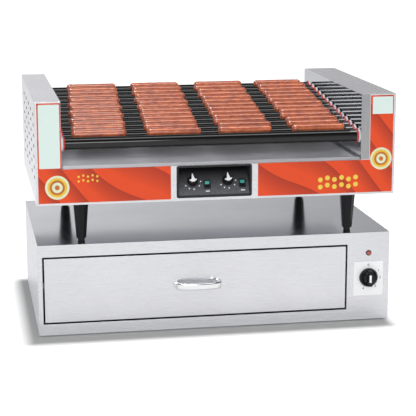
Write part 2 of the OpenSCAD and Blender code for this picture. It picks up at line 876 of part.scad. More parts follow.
module bearing_bushes() {
    color(white) at_ends() difference() {
        union() {
            bar_x(bush_d / 2, -bush_t, 0);
            bar_x(sleeve_d / 2, -1, sleeve_l);
        }
        bar_x(neck_d / 2 + bush_gap, -bush_t - overcut, sleeve_l + overcut);
    }
}

module seal_rings() {
    color(red) at_ends() difference() {
        bar_x(seal_d / 2, -bush_t - seal_t, -bush_t);
        bar_x(roller_r + seal_gap, -bush_t - seal_t - overcut, -bush_t + overcut);
    }
}

// Drive

// Closed loop round the front and back sprockets, as wide as h, drawn in the row's own plane
module loop(h) {
    difference() {
        union() {
            for (s = [0, row_l]) translate([s, 0]) circle(r = sprocket_r + h / 2, $fn = round_fn);
            translate([0, -sprocket_r - h / 2]) square([row_l, 2 * sprocket_r + h]);
        }
        for (s = [0, row_l]) translate([s, 0]) circle(r = sprocket_r - h / 2, $fn = round_fn);
        translate([0, -sprocket_r + h / 2]) square([row_l, 2 * sprocket_r - h]);
    }
}

module drive_chain() {
    half = chain_inner_w / 2;
    color(motor_grey) translate([sprocket_x, 0, 0]) on_row() rotate([90, 0, 90]) {
        for (x = [-half - chain_plate_t, half])
            translate([0, 0, x]) linear_extrude(chain_plate_t) loop(chain_plate_h);
        translate([0, 0, -half - chain_plate_t / 2])
            linear_extrude(chain_inner_w + chain_plate_t) loop(chain_roller_d);
    }
}

module at_motor_shaft() {
    on_row() translate([right_in, motor_s, motor_n]) children();
}

module drive_sprocket() {
    color(steel) at_motor_shaft() {
        translate([drive_x, 0, 0]) rotate([0, 90, 0]) sprocket();
        bar_x(shaft_d / 2, drive_x - shaft_over, gearbox_x + shaft_in);
    }
}

module gear_motor() {
    low = gearbox_over - gearbox_h;
    color(motor_grey) at_motor_shaft() rotate([-slope, 0, 0]) {
        difference() {
            union() {
                box(gearbox_x, gearbox_x + gearbox_t, -gearbox_w / 2, gearbox_w / 2, low, gearbox_over);
                for (y = [-1, 1], z = [low + post_inset, -post_drop])
                    translate([0, y * (gearbox_w / 2 - post_inset), z])
                        bar_x(post_d / 2, sheet, gearbox_x + overcut);
                translate([0, 0, low + gearbox_h / 2])
                    bar_x(motor_d / 2, gearbox_x + gearbox_t - overcut, gearbox_x + gearbox_t + motor_l);
            }
            bar_x(shaft_d / 2 + bush_gap, gearbox_x - overcut, gearbox_x + shaft_in + blind);
        }
    }
}

// Controls

module control_bezel() {
    run = pocket_z1 - pocket_z0;
    back = face_y + bezel_wall / cos(face_tilt);
    color(dark_grey) difference() {
        union() {
            translate([bezel_x, gy0, (bezel_z0 + bezel_z1) / 2]) rotate([90, 0, 0])
                linear_extrude(bezel_out) polygon(rounded(bezel_w, bezel_h, bezel_r));
            profile_x([[gy0 - overcut / 2, pocket_z0 - bezel_wall],
                       [back - bezel_wall * tan(face_tilt), pocket_z0 - bezel_wall],
                       [back + (run + bezel_wall) * tan(face_tilt), pocket_z1 + bezel_wall],
                       [gy0 - overcut / 2, pocket_z1 + bezel_wall]],
                      pocket_x0 - bezel_wall, pocket_x1 + bezel_wall);
        }
        profile_x([[gy0 - bezel_out - overcut, pocket_z0], [face_y, pocket_z0],
                   [face_y + run * tan(face_tilt), pocket_z1], [gy0 - bezel_out - overcut, pocket_z1]],
                  pocket_x0, pocket_x1);
        for (x = knob_x) {
            on_face(x, knob_up) bar_y(face_bush_d / 2 + support_fit, -overcut, bezel_wall + overcut);
            on_face(x + switch_dx, switch_up)
                box(-switch_w / 2 - support_fit, switch_w / 2 + support_fit, -overcut, bezel_wall + overcut,
                    -switch_h / 2 - support_fit, switch_h / 2 + support_fit);
        }
    }
}

module heat_knob(x) {
    r = knob_d / 2;
    core_r = r - knob_core_inset;
    skirt_y = -knob_lift - knob_skirt;
    color(black) on_face(x, knob_up) {
        translate([0, -knob_lift, 0]) rotate([90, 0, 0])
            cylinder(r1 = r, r2 = r - knob_taper, h = knob_skirt, $fn = round_fn);
        translate([0, skirt_y + overcut, 0]) rotate([90, 0, 0])
            cylinder(r1 = core_r, r2 = core_r - knob_taper / 2, h = knob_out + skirt_y - pointer_inset,
                     $fn = round_fn);
        box(-pointer_w / 2, pointer_w / 2, -knob_out, skirt_y + overcut, pointer_tail - r, r - pointer_inset);
        bar_y(control_shaft_d / 2, -knob_lift - overcut, face_shaft_in);
    }
}

module heat_knob_left() {
    heat_knob(knob_x[0]);
}

module heat_knob_right() {
    heat_knob(knob_x[1]);
}

// Rim on the control face with a short box behind it, open to the front
module switch_housing() {
    w = switch_w / 2;
    h = switch_h / 2;
    difference() {
        union() {
            box(-w - switch_rim, w + switch_rim, -switch_proud, 0, -h - switch_rim, h + switch_rim);
            box(-w, w, -switch_proud / 2, switch_deep, -h, h);
        }
        box(-w + switch_wall, w - switch_wall, -switch_proud - overcut, switch_deep - switch_back,
            -h + switch_wall, h - switch_wall);
        translate([0, rocker_deep, 0]) bar_x(rocker_pin_d / 2 + bush_gap, -w - overcut, w + overcut);
    }
}

module switch_housings() {
    color(black) for (x = knob_x) on_face(x + switch_dx, switch_up) switch_housing();
}

// The rocker rests tilted with its lower half in
module rocker(x) {
    h = rocker_h / 2;
    w = rocker_w / 2;
    color(green) on_face(x + switch_dx, switch_up)
        translate([0, rocker_deep, 0]) rotate([rocker_tilt, 0, 0]) {
            profile_x([[rocker_back, -h * rocker_back_share], [-rocker_deep - rocker_peak, -h],
                       [-rocker_deep - rocker_dish, 0], [-rocker_deep - rocker_peak, h],
                       [rocker_back, h * rocker_back_share]], -w, w);
            bar_x(rocker_pin_d / 2, 2 * support_fit - switch_w / 2, switch_w / 2 - 2 * support_fit);
        }
}

module rocker_left() {
    rocker(knob_x[0]);
}

module rocker_right() {
    rocker(knob_x[1]);
}

// Cord inlets

// A bushing through the back with its collar and a neck for the cord
module cord_inlet() {
    hole_r = inlet_hole_d / 2;
    difference() {
        union() {
            bar_y(hole_r - support_fit, -inlet_in, overcut);
            bar_y(hole_r + collar_over, 0, collar_t);
            bar_y(hole_r - neck_in, collar_t - overcut, inlet_out);
        }
        bar_y(cord_bore / 2, -inlet_in - overcut, inlet_out + overcut);
    }
}

module cord_inlets() {
    color(black) {
        translate([inlet_x, cab_y1, inlet_z]) cord_inlet();
        translate([grill_inlet_x, gy1, grill_inlet_z]) cord_inlet();
    }
}

// Hot dogs

// Half outline of a hot dog, in radius and length
function dog_outline() = concat(
    [[0, -dog_l / 2]],
    [for (a = [-75:15:0]) [dog_r * cos(a), dog_end - dog_l / 2 + dog_end * sin(a)]],
    [for (a = [0:15:75]) [dog_r * cos(a), dog_l / 2 - dog_end + dog_end * sin(a)]],
    [[0, dog_l / 2]]);

function dog_x(k, column) = (tube_x0 + tube_x1) / 2 + dog_shift
    + (column - (dog_columns - 1) / 2) * (dog_pitch - dog_fan * k / (roller_count - 2))
    + dog_drift * (k - (roller_count - 2) / 2) + dog_stray * sin(197 * k + 131 * column);

module hot_dogs(k) {
    color(sausage) on_row() translate([0, (k + 0.5) * roller_pitch, dog_lift])
        for (column = [0:dog_columns - 1])
            translate([dog_x(k, column), 0, 0]) rotate([0, 90, 0])
                rotate_extrude($fn = round_fn) polygon(dog_outline());
}

cabinet_shell();
cabinet_front();
cabinet_base();
cabinet_feet();
drawer_front();
drawer_pan();
drawer_pull();
drawer_rails();
heating_elements();
rotary_controls();
dial_knob();
pilot_lamp();
front_panel();
chassis_pan();
left_cover();
right_cover();
left_inner_panel();
right_inner_panel();
crumb_tray();
control_bezel();
heat_knob_left();
heat_knob_right();
switch_housings();
rocker_left();
rocker_right();
legs();
leg_feet();
seal_rings();
bearing_bushes();
drive_chain();
drive_sprocket();
gear_motor();
cord_inlets();
for (k = [0:roller_count - 1])
    roller(k);
for (k = [0:roller_count - 2])
    hot_dogs(k);
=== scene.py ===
import bpy
import json
import math
from mathutils import Matrix, Vector


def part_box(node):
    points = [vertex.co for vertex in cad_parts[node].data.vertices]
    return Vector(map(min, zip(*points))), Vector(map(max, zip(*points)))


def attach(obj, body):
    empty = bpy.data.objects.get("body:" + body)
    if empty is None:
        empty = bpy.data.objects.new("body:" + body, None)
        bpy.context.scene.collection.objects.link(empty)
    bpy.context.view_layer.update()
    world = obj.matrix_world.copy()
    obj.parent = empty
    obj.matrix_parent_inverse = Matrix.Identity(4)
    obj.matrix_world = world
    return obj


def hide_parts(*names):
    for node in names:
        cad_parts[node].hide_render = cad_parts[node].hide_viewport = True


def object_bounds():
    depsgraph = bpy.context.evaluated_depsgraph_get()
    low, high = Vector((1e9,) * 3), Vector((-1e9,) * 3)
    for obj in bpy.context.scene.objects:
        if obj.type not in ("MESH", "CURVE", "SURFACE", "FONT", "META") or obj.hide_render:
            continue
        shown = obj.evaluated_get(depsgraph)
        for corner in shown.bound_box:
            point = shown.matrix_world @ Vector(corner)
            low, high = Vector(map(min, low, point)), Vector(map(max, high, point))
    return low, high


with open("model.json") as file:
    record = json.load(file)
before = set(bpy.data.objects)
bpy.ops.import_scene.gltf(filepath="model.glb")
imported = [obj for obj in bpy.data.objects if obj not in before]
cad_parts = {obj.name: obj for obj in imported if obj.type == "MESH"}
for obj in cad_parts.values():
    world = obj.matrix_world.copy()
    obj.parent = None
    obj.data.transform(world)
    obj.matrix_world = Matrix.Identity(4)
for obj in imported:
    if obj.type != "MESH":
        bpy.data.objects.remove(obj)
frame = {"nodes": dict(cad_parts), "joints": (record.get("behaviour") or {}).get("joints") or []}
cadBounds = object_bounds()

nodes = frame["nodes"]
jointPlace = {j["name"]: Vector(j["pos_m"]) for j in frame["joints"] if "pos_m" in j}
jointAxis = {j["name"]: Vector(j["axis"]) for j in frame["joints"]}
mm = 0.001

# places on the frame that several pieces share
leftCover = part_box("left_cover")
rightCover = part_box("right_cover")
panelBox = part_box("front_panel")
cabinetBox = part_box("cabinet_front")
leftInner = leftCover[1].x
rightInner = rightCover[0].x
frontFace = panelBox[0].y
cabinetFace = cabinetBox[0].y


# camera, found by fitting the two boxes' edges in the photograph
photoCamera = {
    "place": (-0.6403, -3.7290, 1.0591),
    "yaw": 10.124,
    "pitch": 11.941,
    "roll": -0.067,
    "focalPixels": 1414.3,
    "imagePixels": 416,
    "sensor": 36,
}


def addCamera():
    yaw, pitch, roll = (math.radians(photoCamera[k]) for k in ("yaw", "pitch", "roll"))
    right = Vector((math.cos(yaw), -math.sin(yaw), 0))
    ahead = Vector((math.sin(yaw) * math.cos(pitch), math.cos(yaw) * math.cos(pitch), -math.sin(pitch)))
    up = right.cross(ahead)
    across = right * math.cos(roll) + up * math.sin(roll)
    upward = up * math.cos(roll) - right * math.sin(roll)
    data = bpy.data.cameras.new("photoCamera")
    data.sensor_fit = "HORIZONTAL"
    data.sensor_width = photoCamera["sensor"]
    data.lens = photoCamera["sensor"] * photoCamera["focalPixels"] / photoCamera["imagePixels"]
    data.clip_end = 100
    camera = bpy.data.objects.new("photoCamera", data)
    bpy.context.scene.collection.objects.link(camera)
    turned = Matrix((across, upward, -ahead)).transposed().to_4x4()
    camera.matrix_world = Matrix.Translation(photoCamera["place"]) @ turned
    bpy.context.scene.camera = camera


addCamera()
print("camera in place")


# materials
def startMaterial(name):
    material = bpy.data.materials.new(name)
    material.use_nodes = True
    tree = material.node_tree
    return material, tree, tree.nodes["Principled BSDF"]


# a node with its settings and the values of its inputs, with _ for a space in an input's name
def addNode(tree, kind, **values):
    node = tree.nodes.new("ShaderNode" + kind)
    for key, value in values.items():
        if hasattr(node, key):
            setattr(node, key, value)
        else:
            node.inputs[key.replace("_", " ")].default_value = value
    return node


# an input takes a link, a number or a colour
def feed(tree, socket, value):
    if isinstance(value, bpy.types.NodeSocket):
        tree.links.new(value, socket)
    elif isinstance(value, (int, float)):
        socket.default_value = value
    else:
        socket.default_value = (*value, 1)


def feedAll(tree, node, **values):
    for key, value in values.items():
        feed(tree, node.inputs[key.replace("_", " ")], value)


def calculate(tree, operation, first, second=0.0):
    node = addNode(tree, "Math", operation=operation)
    for socket, value in zip(node.inputs, (first, second)):
        feed(tree, socket, value)
    return node.outputs["Value"]


# the x, y and z of a place, each as an output
def placeParts(tree, kind="Object"):
    where = addNode(tree, "TexCoord")
    split = addNode(tree, "SeparateXYZ")
    tree.links.new(where.outputs[kind], split.inputs["Vector"])
    return split.outputs


def objectNoise(tree, stretch, scale, detail=4.0, roughness=0.55):
    where = addNode(tree, "TexCoord")
    mapping = addNode(tree, "Mapping", Scale=stretch)
    noise = addNode(tree, "TexNoise", Scale=scale, Detail=detail, Roughness=roughness)
    tree.links.new(where.outputs["Object"], mapping.inputs["Vector"])
    tree.links.new(mapping.outputs["Vector"], noise.inputs["Vector"])
    return noise.outputs["Fac"]


def ramp(tree, source, low, high, lowColor, highColor):
    node = addNode(tree, "ValToRGB")
    node.color_ramp.elements[0].position = low
    node.color_ramp.elements[1].position = high
    node.color_ramp.elements[0].color = (*lowColor, 1)
    node.color_ramp.elements[1].color = (*highColor, 1)
    tree.links.new(source, node.inputs["Fac"])
    return node.outputs["Color"]


def spread(tree, source, low, high, fromLow=0.3, fromHigh=0.7):
    node = addNode(tree, "MapRange", From_Min=fromLow, From_Max=fromHigh, To_Min=low, To_Max=high)
    tree.links.new(source, node.inputs["Value"])
    return node.outputs["Result"]


def blendColors(tree, factor, first, second, kind="MIX"):
    node = addNode(tree, "Mix", data_type="RGBA", blend_type=kind)
    feedAll(tree, node, Factor=factor, A=first, B=second)
    return node.outputs["Result"]


def blendValues(tree, factor, first, second):
    node = addNode(tree, "Mix", data_type="FLOAT")
    for index, value in ((0, factor), (2, first), (3, second)):
        feed(tree, node.inputs[index], value)
    return node.outputs[0]


def addBump(tree, shader, source, strength, distance):
    bump = addNode(tree, "Bump", Strength=strength, Distance=distance)
    tree.links.new(source, bump.inputs["Height"])
    tree.links.new(bump.outputs["Normal"], shader.inputs["Normal"])


def scaled(color, factor):
    return tuple(min(1.0, c * factor) for c in color)


def brushedSteel(name, color, rough=0.3, grain=(3, 260, 260), contrast=0.06, cloud=0.05, bump=0.08,
                 sweep=0.0):
    material, tree, shader = startMaterial(name)
    if sweep:  # the lines along x spread the light from front to back
        across = addNode(tree, "Tangent", direction_type="RADIAL", axis="X")
        feedAll(tree, shader, Anisotropic=sweep, Tangent=across.outputs["Tangent"])
    lines = objectNoise(tree, grain, 4, 6, 0.7)
    clouds = objectNoise(tree, (1, 1, 1), 5, 3)
    fine = ramp(tree, lines, 0.3, 0.7, scaled(color, 1 - contrast), scaled(color, 1 + contrast))
    soft = ramp(tree, clouds, 0.35, 0.65, (1 - cloud,) * 3, (1, 1, 1))
    feedAll(tree, shader, Metallic=1, Base_Color=blendColors(tree, 1.0, fine, soft, "MULTIPLY"),
            Roughness=spread(tree, lines, rough * 0.8, rough * 1.25))
    if bump:
        addBump(tree, shader, lines, bump, 0.0002)
    return material


def plastic(name, color, rough=0.4, speckle=0.1, grainScale=900, bump=0.1, coat=0.0, gloss=0.5):
    material, tree, shader = startMaterial(name)
    grain = objectNoise(tree, (1, 1, 1), grainScale, 3)
    tone = ramp(tree, grain, 0.3, 0.7, scaled(color, 1 - speckle), scaled(color, 1 + speckle))
    feedAll(tree, shader, Base_Color=tone, Roughness=spread(tree, grain, rough - 0.06, rough + 0.06),
            Specular_IOR_Level=gloss, Coat_Weight=coat, Coat_Roughness=0.12)
    addBump(tree, shader, grain, bump, 0.0003)
    return material


# pebbled plastic with its light and shade painted in: near black at the top, which the pocket's ceiling shades,
# and paler towards its lower edge, which catches light from below
def shadedPebbledFace(low, high):
    material, tree, shader = startMaterial("faceShadedPlastic")
    grain = objectNoise(tree, (1, 1, 1), 420, 3)
    rise = spread(tree, placeParts(tree)["Z"], 0, 1, low, high)
    tone = ramp(tree, rise, 0.0, 0.8, (0.17, 0.175, 0.19), (0.006, 0.006, 0.008))
    pebbles = ramp(tree, grain, 0.35, 0.65, (0.45, 0.45, 0.45), (1, 1, 1))
    feedAll(tree, shader, Base_Color=blendColors(tree, 1.0, tone, pebbles, "MULTIPLY"),
            Roughness=spread(tree, grain, 0.42, 0.6), Specular_IOR_Level=0.2)
    addBump(tree, shader, grain, 0.6, 0.0003)
    return material


def rollerCoating():
    material, tree, shader = startMaterial("rollerCoating")
    streaks = objectNoise(tree, (6, 240, 240), 3, 5)
    speck = objectNoise(tree, (1, 1, 1), 700, 3)
    tone = ramp(tree, streaks, 0.3, 0.7, (0.003, 0.003, 0.003), (0.008, 0.007, 0.007))
    feedAll(tree, shader, Base_Color=tone, Roughness=spread(tree, streaks, 0.08, 0.13),
            Specular_IOR_Level=0.45)
    addBump(tree, shader, speck, 0.06, 0.0001)
    return material


def sausageSkin():
    material, tree, shader = startMaterial("sausageSkin")
    mottle = objectNoise(tree, (1, 1.4, 1.4), 60, 5, 0.6)
    broad = objectNoise(tree, (1, 1, 1), 14, 3)
    wrinkle = objectNoise(tree, (1, 0.35, 0.35), 420, 4)
    skin = ramp(tree, mottle, 0.32, 0.68, (0.34, 0.051, 0.011), (0.70, 0.155, 0.033))
    warm = ramp(tree, broad, 0.35, 0.65, (0.82, 0.80, 0.80), (1, 1, 1))
    shader.inputs["Subsurface Radius"].default_value = (0.004, 0.0015, 0.0008)
    feedAll(tree, shader, Base_Color=blendColors(tree, 1.0, skin, warm, "MULTIPLY"),
            Roughness=spread(tree, mottle, 0.34, 0.46), Subsurface_Weight=0.12, Subsurface_Scale=1.0,
            Coat_Weight=1.0, Coat_IOR=1.6, Coat_Roughness=0.06)
    addBump(tree, shader, wrinkle, 0.32, 0.0007)
    return material


def decalPrint():
    material, tree, shader = startMaterial("decalPrint")
    design = {"ground": (0.80, 0.080, 0.020), "fold": (0.38, 0.036, 0.018), "slant": 1.15, "repeat": 9.5,
              "sway": 0.035, "swayRate": 16.0, "cover": 0.85}
    parts = placeParts(tree)
    wave = calculate(tree, "SINE", calculate(tree, "MULTIPLY", parts["X"], design["swayRate"]))
    sway = calculate(tree, "MULTIPLY", wave, design["sway"])
    slanted = calculate(tree, "ADD", calculate(tree, "MULTIPLY", parts["Z"], design["slant"]), sway)
    along = calculate(tree, "ADD", parts["X"], slanted)
    pleat = calculate(tree, "FRACT", calculate(tree, "MULTIPLY", along, design["repeat"]))
    shade = spread(tree, pleat, 0, design["cover"], 0.35, 1.0)
    folds = blendColors(tree, shade, design["ground"], design["fold"])
    speck = objectNoise(tree, (1, 1, 1), 500, 2)
    toned = ramp(tree, speck, 0.3, 0.7, (0.96, 0.96, 0.96), (1, 1, 1))
    feedAll(tree, shader, Base_Color=blendColors(tree, 1.0, folds, toned, "MULTIPLY"),
            Roughness=spread(tree, speck, 0.28, 0.38), Specular_IOR_Level=0.25)
    return material


def glowing(name, color, glow, strength):
    material = plastic(name, color, 0.22, 0.05, 1200, 0.03, 0.4)
    tree = material.node_tree
    feedAll(tree, tree.nodes["Principled BSDF"], Emission_Color=glow, Emission_Strength=strength)
    return material


finish = {
    "front": brushedSteel("frontSteel", (0.72, 0.725, 0.75), 0.26, (3, 260, 260), 0.015, 0.05, 0.012),
    "frontSide": brushedSteel("frontSteelSide", (0.70, 0.71, 0.73), 0.26, (260, 260, 3), 0.03, 0.05, 0.03),
    "cabinet": brushedSteel("cabinetSteel", (0.64, 0.65, 0.70), 0.13, (3, 260, 260), 0.05, 0.08, 0.02),
    "cabinetSide": brushedSteel("cabinetSteelSide", (0.66, 0.67, 0.71), 0.26, (260, 3, 260), 0.03, 0.06, 0.03),
    "cover": brushedSteel("coverSteel", (0.78, 0.78, 0.83), 0.26, (260, 3, 260), 0.03, 0.05, 0.01),
    # painted light: the covers' sides are much paler than their tops
    "coverSide": brushedSteel("coverSideLitSteel", (0.93, 0.93, 0.96), 0.35, (200, 3, 200), 0.01, 0.03, 0.0),
    # a near-black finish that paints shade into slot walls, the drawer gap and panel sides facing unlit space
    "paintedShade": plastic("paintedShade", (0.016, 0.016, 0.028), 0.6, 0.1, 300, 0.0, 0.0, 0.1),
    "tray": brushedSteel("traySteel", (0.66, 0.66, 0.69), 0.65, (3, 200, 200), 0.16, 0.05, 0.0, 0.9),
    "pan": brushedSteel("panSteel", (0.50, 0.51, 0.53), 0.34, (3, 260, 260), 0.08, 0.06),
    # a darker copy of the pan steel: painted shade for faces that look down
    "under": brushedSteel("shadedUnderSteel", (0.30, 0.305, 0.34), 0.4, (3, 260, 260), 0.08, 0.08),
    "upright": brushedSteel("uprightSteel", (0.40, 0.40, 0.41), 0.30, (260, 260, 3), 0.04, 0.05, 0.02),
    "mirror": brushedSteel("mirrorSteel", (0.72, 0.73, 0.78), 0.05, (3, 200, 200), 0.02, 0.02, 0.0),
    "chrome": brushedSteel("pullChrome", (0.86, 0.87, 0.89), 0.09, (3, 120, 120), 0.02, 0.03, 0.0),
    "heater": brushedSteel("heaterSheath", (0.28, 0.22, 0.19), 0.45, (8, 160, 160), 0.15, 0.15),
    "drive": brushedSteel("driveSteel", (0.33, 0.34, 0.35), 0.38, (200, 200, 200), 0.12, 0.12),
    "motor": plastic("motorPaint", (0.17, 0.18, 0.19), 0.45, 0.08, 500, 0.15),
    "roller": rollerCoating(),
    "sausage": sausageSkin(),
    "seal": plastic("sealRed", (0.50, 0.035, 0.035), 0.40, 0.08, 900, 0.08),
    "bush": plastic("bushWhite", (0.56, 0.57, 0.60), 0.36, 0.03, 900, 0.05),
    "bezel": plastic("bezelPlastic", (0.026, 0.027, 0.030), 0.42, 0.3, 650, 0.35, 0.0, 0.2),
    "face": shadedPebbledFace(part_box("control_bezel")[0].z + 0.010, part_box("control_bezel")[1].z - 0.008),
    "control": plastic("controlPlastic", (0.02, 0.02, 0.022), 0.5, 0.1, 600, 0.1, 0.0, 0.3),
    "knob": plastic("knobPlastic", (0.008, 0.008, 0.009), 0.32, 0.12, 700, 0.08, 0.0, 0.25),
    "leg": plastic("legPlastic", (0.009, 0.009, 0.011), 0.26, 0.15, 500, 0.05, 0.0, 0.16),
    "rubber": plastic("footRubber", (0.02, 0.02, 0.02), 0.7, 0.15, 500, 0.2),
    "white": plastic("whitePrint", (0.96, 0.97, 0.98), 0.4, 0.02, 900, 0.03, 0.0, 0.3),
    "label": plastic("labelFilm", (0.72, 0.85, 0.81), 0.35, 0.02, 900, 0.03, 0.0, 0.3),
    "cream": plastic("creamPrint", (0.76, 0.80, 0.55), 0.35, 0.05, 300, 0.03, 0.0, 0.3),
    "mustard": plastic("mustardPrint", (0.82, 0.55, 0.05), 0.35, 0.10, 260, 0.03, 0.0, 0.3),
    "ochre": plastic("ochrePrint", (0.55, 0.16, 0.03), 0.35, 0.15, 200, 0.03, 0.0, 0.3),
    "yellow": plastic("yellowPrint", (0.85, 0.62, 0.08), 0.35, 0.05, 300, 0.03, 0.0, 0.3),
    "ink": plastic("greyInk", (0.012, 0.013, 0.015), 0.5, 0.1, 900, 0.03, 0.0, 0.3),
    "lit": glowing("litGreen", (0.01, 0.24, 0.19), (0.02, 0.42, 0.34), 0.18),
    "lens": glowing("lampLens", (0.42, 0.10, 0.08), (0.6, 0.14, 0.10), 0.12),
    "lampRim": plastic("lampRim", (0.10, 0.008, 0.010), 0.25, 0.1, 900, 0.03, 0.2),
    "decal": decalPrint(),
}
print("materials ready:", len(finish))


# hands for modelling
def clearSelection():
    if bpy.context.mode != "OBJECT":
        bpy.ops.object.mode_set(mode="OBJECT")
    bpy.ops.object.select_all(action="DESELECT")


def take(piece):
    clearSelection()
    piece.select_set(True)
    bpy.context.view_layer.objects.active = piece


def selectAll():
    bpy.ops.mesh.select_all(action="SELECT")


def editAll(piece):
    take(piece)
    bpy.ops.object.mode_set(mode="EDIT")
    selectAll()


def leaveEdit():
    bpy.ops.object.mode_set(mode="OBJECT")


def applyModifier(piece, kind, **values):
    take(piece)
    modifier = piece.modifiers.new(kind.lower(), kind)
    for key, value in values.items():
        setattr(modifier, key, value)
    bpy.ops.object.modifier_apply(modifier=modifier.name)


# smooth, with normals that keep long and flat faces true
def smooth(piece, angle):
    take(piece)
    bpy.ops.object.shade_smooth_by_angle(angle=math.radians(angle))
    applyModifier(piece, "WEIGHTED_NORMAL", keep_sharp=True, weight=90)


def bevelEdges(piece, width, segments=2, angle=35):
    applyModifier(piece, "BEVEL", width=width, segments=segments, limit_method="ANGLE",
                  angle_limit=math.radians(angle), use_clamp_overlap=True)


def paint(piece, *materials):
    piece.data.materials.clear()
    for material in materials:
        piece.data.materials.append(material)


def dress(piece, look, angle):
    smooth(piece, angle)
    paint(piece, finish[look])


def settle(piece, body, slotName, *replaced):
    piece.name = piece.name.split(".")[0]
    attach(piece, body)
    if replaced:
        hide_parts(*replaced)
    return piece


def joinPieces(pieces, name):
    clearSelection()
    for piece in pieces:
        piece.select_set(True)
    bpy.context.view_layer.objects.active = pieces[0]
    bpy.ops.object.join()
    pieces[0].name = name
    return pieces[0]


def copyPiece(piece, offset, name):
    twin = bpy.data.objects.new(name, piece.data.copy())
    bpy.context.scene.collection.objects.link(twin)
    twin.data.transform(Matrix.Translation(offset))
    return twin


def addShape(kind, name, **values):
    clearSelection()
    getattr(bpy.ops.mesh, "primitive_" + kind + "_add")(**values)
    piece = bpy.context.object
    piece.name = name
    return piece


# a line through points, left in edit mode with all of it selected
def drawLine(name, points):
    piece = addShape("plane", name, size=0.01)
    bpy.ops.object.mode_set(mode="EDIT")
    bpy.ops.mesh.select_mode(type="VERT")
    selectAll()
    bpy.ops.mesh.merge(type="CENTER")
    bpy.ops.transform.translate(value=points[0])
    for before, after in zip(points, points[1:]):
        step = [b - a for a, b in zip(before, after)]
        bpy.ops.mesh.extrude_region_move(TRANSFORM_OT_translate={"value": step})
    selectAll()
    return piece


# a lathe: the outline is a list of (radius, height along the axis), spun round the axis
def turned(name, outline, place, axis, steps=48, closed=False):
    piece = drawLine(name, [(x, 0, z) for x, z in outline + (outline[:1] if closed else [])])
    bpy.ops.mesh.spin(steps=steps, angle=2 * math.pi, center=(0, 0, 0), axis=(0, 0, 1))
    selectAll()
    bpy.ops.mesh.remove_doubles(threshold=0.000002)
    bpy.ops.mesh.normals_make_consistent(inside=False)
    leaveEdit()
    tip = Vector((0, 0, 1)).rotation_difference(Vector(axis)).to_matrix().to_4x4()
    piece.data.transform(Matrix.Translation(place) @ tip)
    return piece


# a disc or a rod that stands out to the front, between two heights over its place
def disc(name, radius, low, high, place, steps):
    return turned(name, [(0, low), (radius, low), (radius, high), (0, high)], place, (0, -1, 0), steps)


# fills a drawn line and pushes the face out into a solid
def raiseFace(piece, way, bevel, segments):
    bpy.ops.mesh.edge_face_add()
    bpy.ops.mesh.extrude_region_move(TRANSFORM_OT_translate={"value": way})
    selectAll()
    bpy.ops.mesh.normals_make_consistent(inside=False)
    leaveEdit()
    if bevel:
        bevelEdges(piece, bevel, segments, 60)
    return piece


# a flat plate in the plane of the front, cut to corners given as (x, z)
def cutPlate(name, corners, frontY, thickness, bevel=0.0):
    return raiseFace(drawLine(name, [(x, frontY, z) for x, z in corners]), (0, thickness, 0), bevel, 2)


# a solid drawn from above: points given as (x, y), raised from z by a height
def raisedPlate(name, points, z, height, bevel, segments):
    return raiseFace(drawLine(name, [(x, y, z) for x, y in points]), (0, 0, height), bevel, segments)


# a block between two corners, with broken edges
def block(name, low, high, bevel):
    middle = [(a + b) / 2 for a, b in zip(low, high)]
    size = [b - a for a, b in zip(low, high)]
    piece = addShape("cube", name, size=1, location=middle, scale=size)
    bpy.ops.object.transform_apply(location=True, rotation=True, scale=True)
    bevelEdges(piece, bevel, 3, 60)
    return piece


# flutes round the rim of a lathed knob
def flute(piece, place, axis, count, deep, fromRadius):
    centre = Vector(place)
    along = Vector(axis).normalized()
    start = along.orthogonal().normalized()
    side = along.cross(start)
    for point in piece.data.vertices:
        arm = point.co - centre
        flat = arm - along * arm.dot(along)
        if flat.length > fromRadius:
            turn = math.atan2(flat.dot(side), flat.dot(start))
            dip = deep * (0.5 - 0.5 * math.cos(turn * count)) ** 3
            point.co -= flat.normalized() * dip


# a plain number, standing on a face that looks to the front
def addNumber(text, x, y, z, size):
    clearSelection()
    bpy.ops.object.text_add(location=(0, 0, 0))
    mark = bpy.context.object
    mark.data.body = text
    mark.data.size = size
    mark.data.extrude = 0.00008
    mark.data.align_x = "CENTER"
    mark.data.align_y = "CENTER"
    bpy.ops.object.convert(target="MESH")
    mark = bpy.context.object
    mark.data.transform(Matrix.Translation((x, y, z)) @ Matrix.Rotation(math.pi / 2, 4, "X"))
    return mark


def roundedCorners(x0, x1, z0, z1, radius, steps=5):
    left, right, low, high = x0 + radius, x1 - radius, z0 + radius, z1 - radius
    middles = ((right, high), (left, high), (left, low), (right, low))
    corners = []
    for quarter, (x, z) in enumerate(middles):
        for step in range(steps + 1):
            angle = math.pi / 2 * (quarter + step / steps)
            corners.append((x + radius * math.cos(angle), z + radius * math.sin(angle)))
    return corners


# a copy of a frame piece with merged corners, broken edges and smooth rounds
def dressedCopy(nodeName, name, width, segments=2):
    source = nodes[nodeName]
    piece = bpy.data.objects.new(name, source.data.copy())
    bpy.context.scene.collection.objects.link(piece)
    editAll(piece)
    bpy.ops.mesh.remove_doubles(threshold=0.000005)
    bpy.ops.mesh.dissolve_limited(angle_limit=math.radians(0.5))
    leaveEdit()
    bevelEdges(piece, width, segments)
    smooth(piece, 40)
    return piece


# faces that look to the left or right have a grain of their own, which lies in the sheet; the covers' side
# faces are also painted much paler than their tops, as painted light
def regrainSides(piece, look):
    piece.data.materials.append(finish[look])
    for face in piece.data.polygons:
        if abs(face.normal.x) > 0.9:
            face.material_index = 1


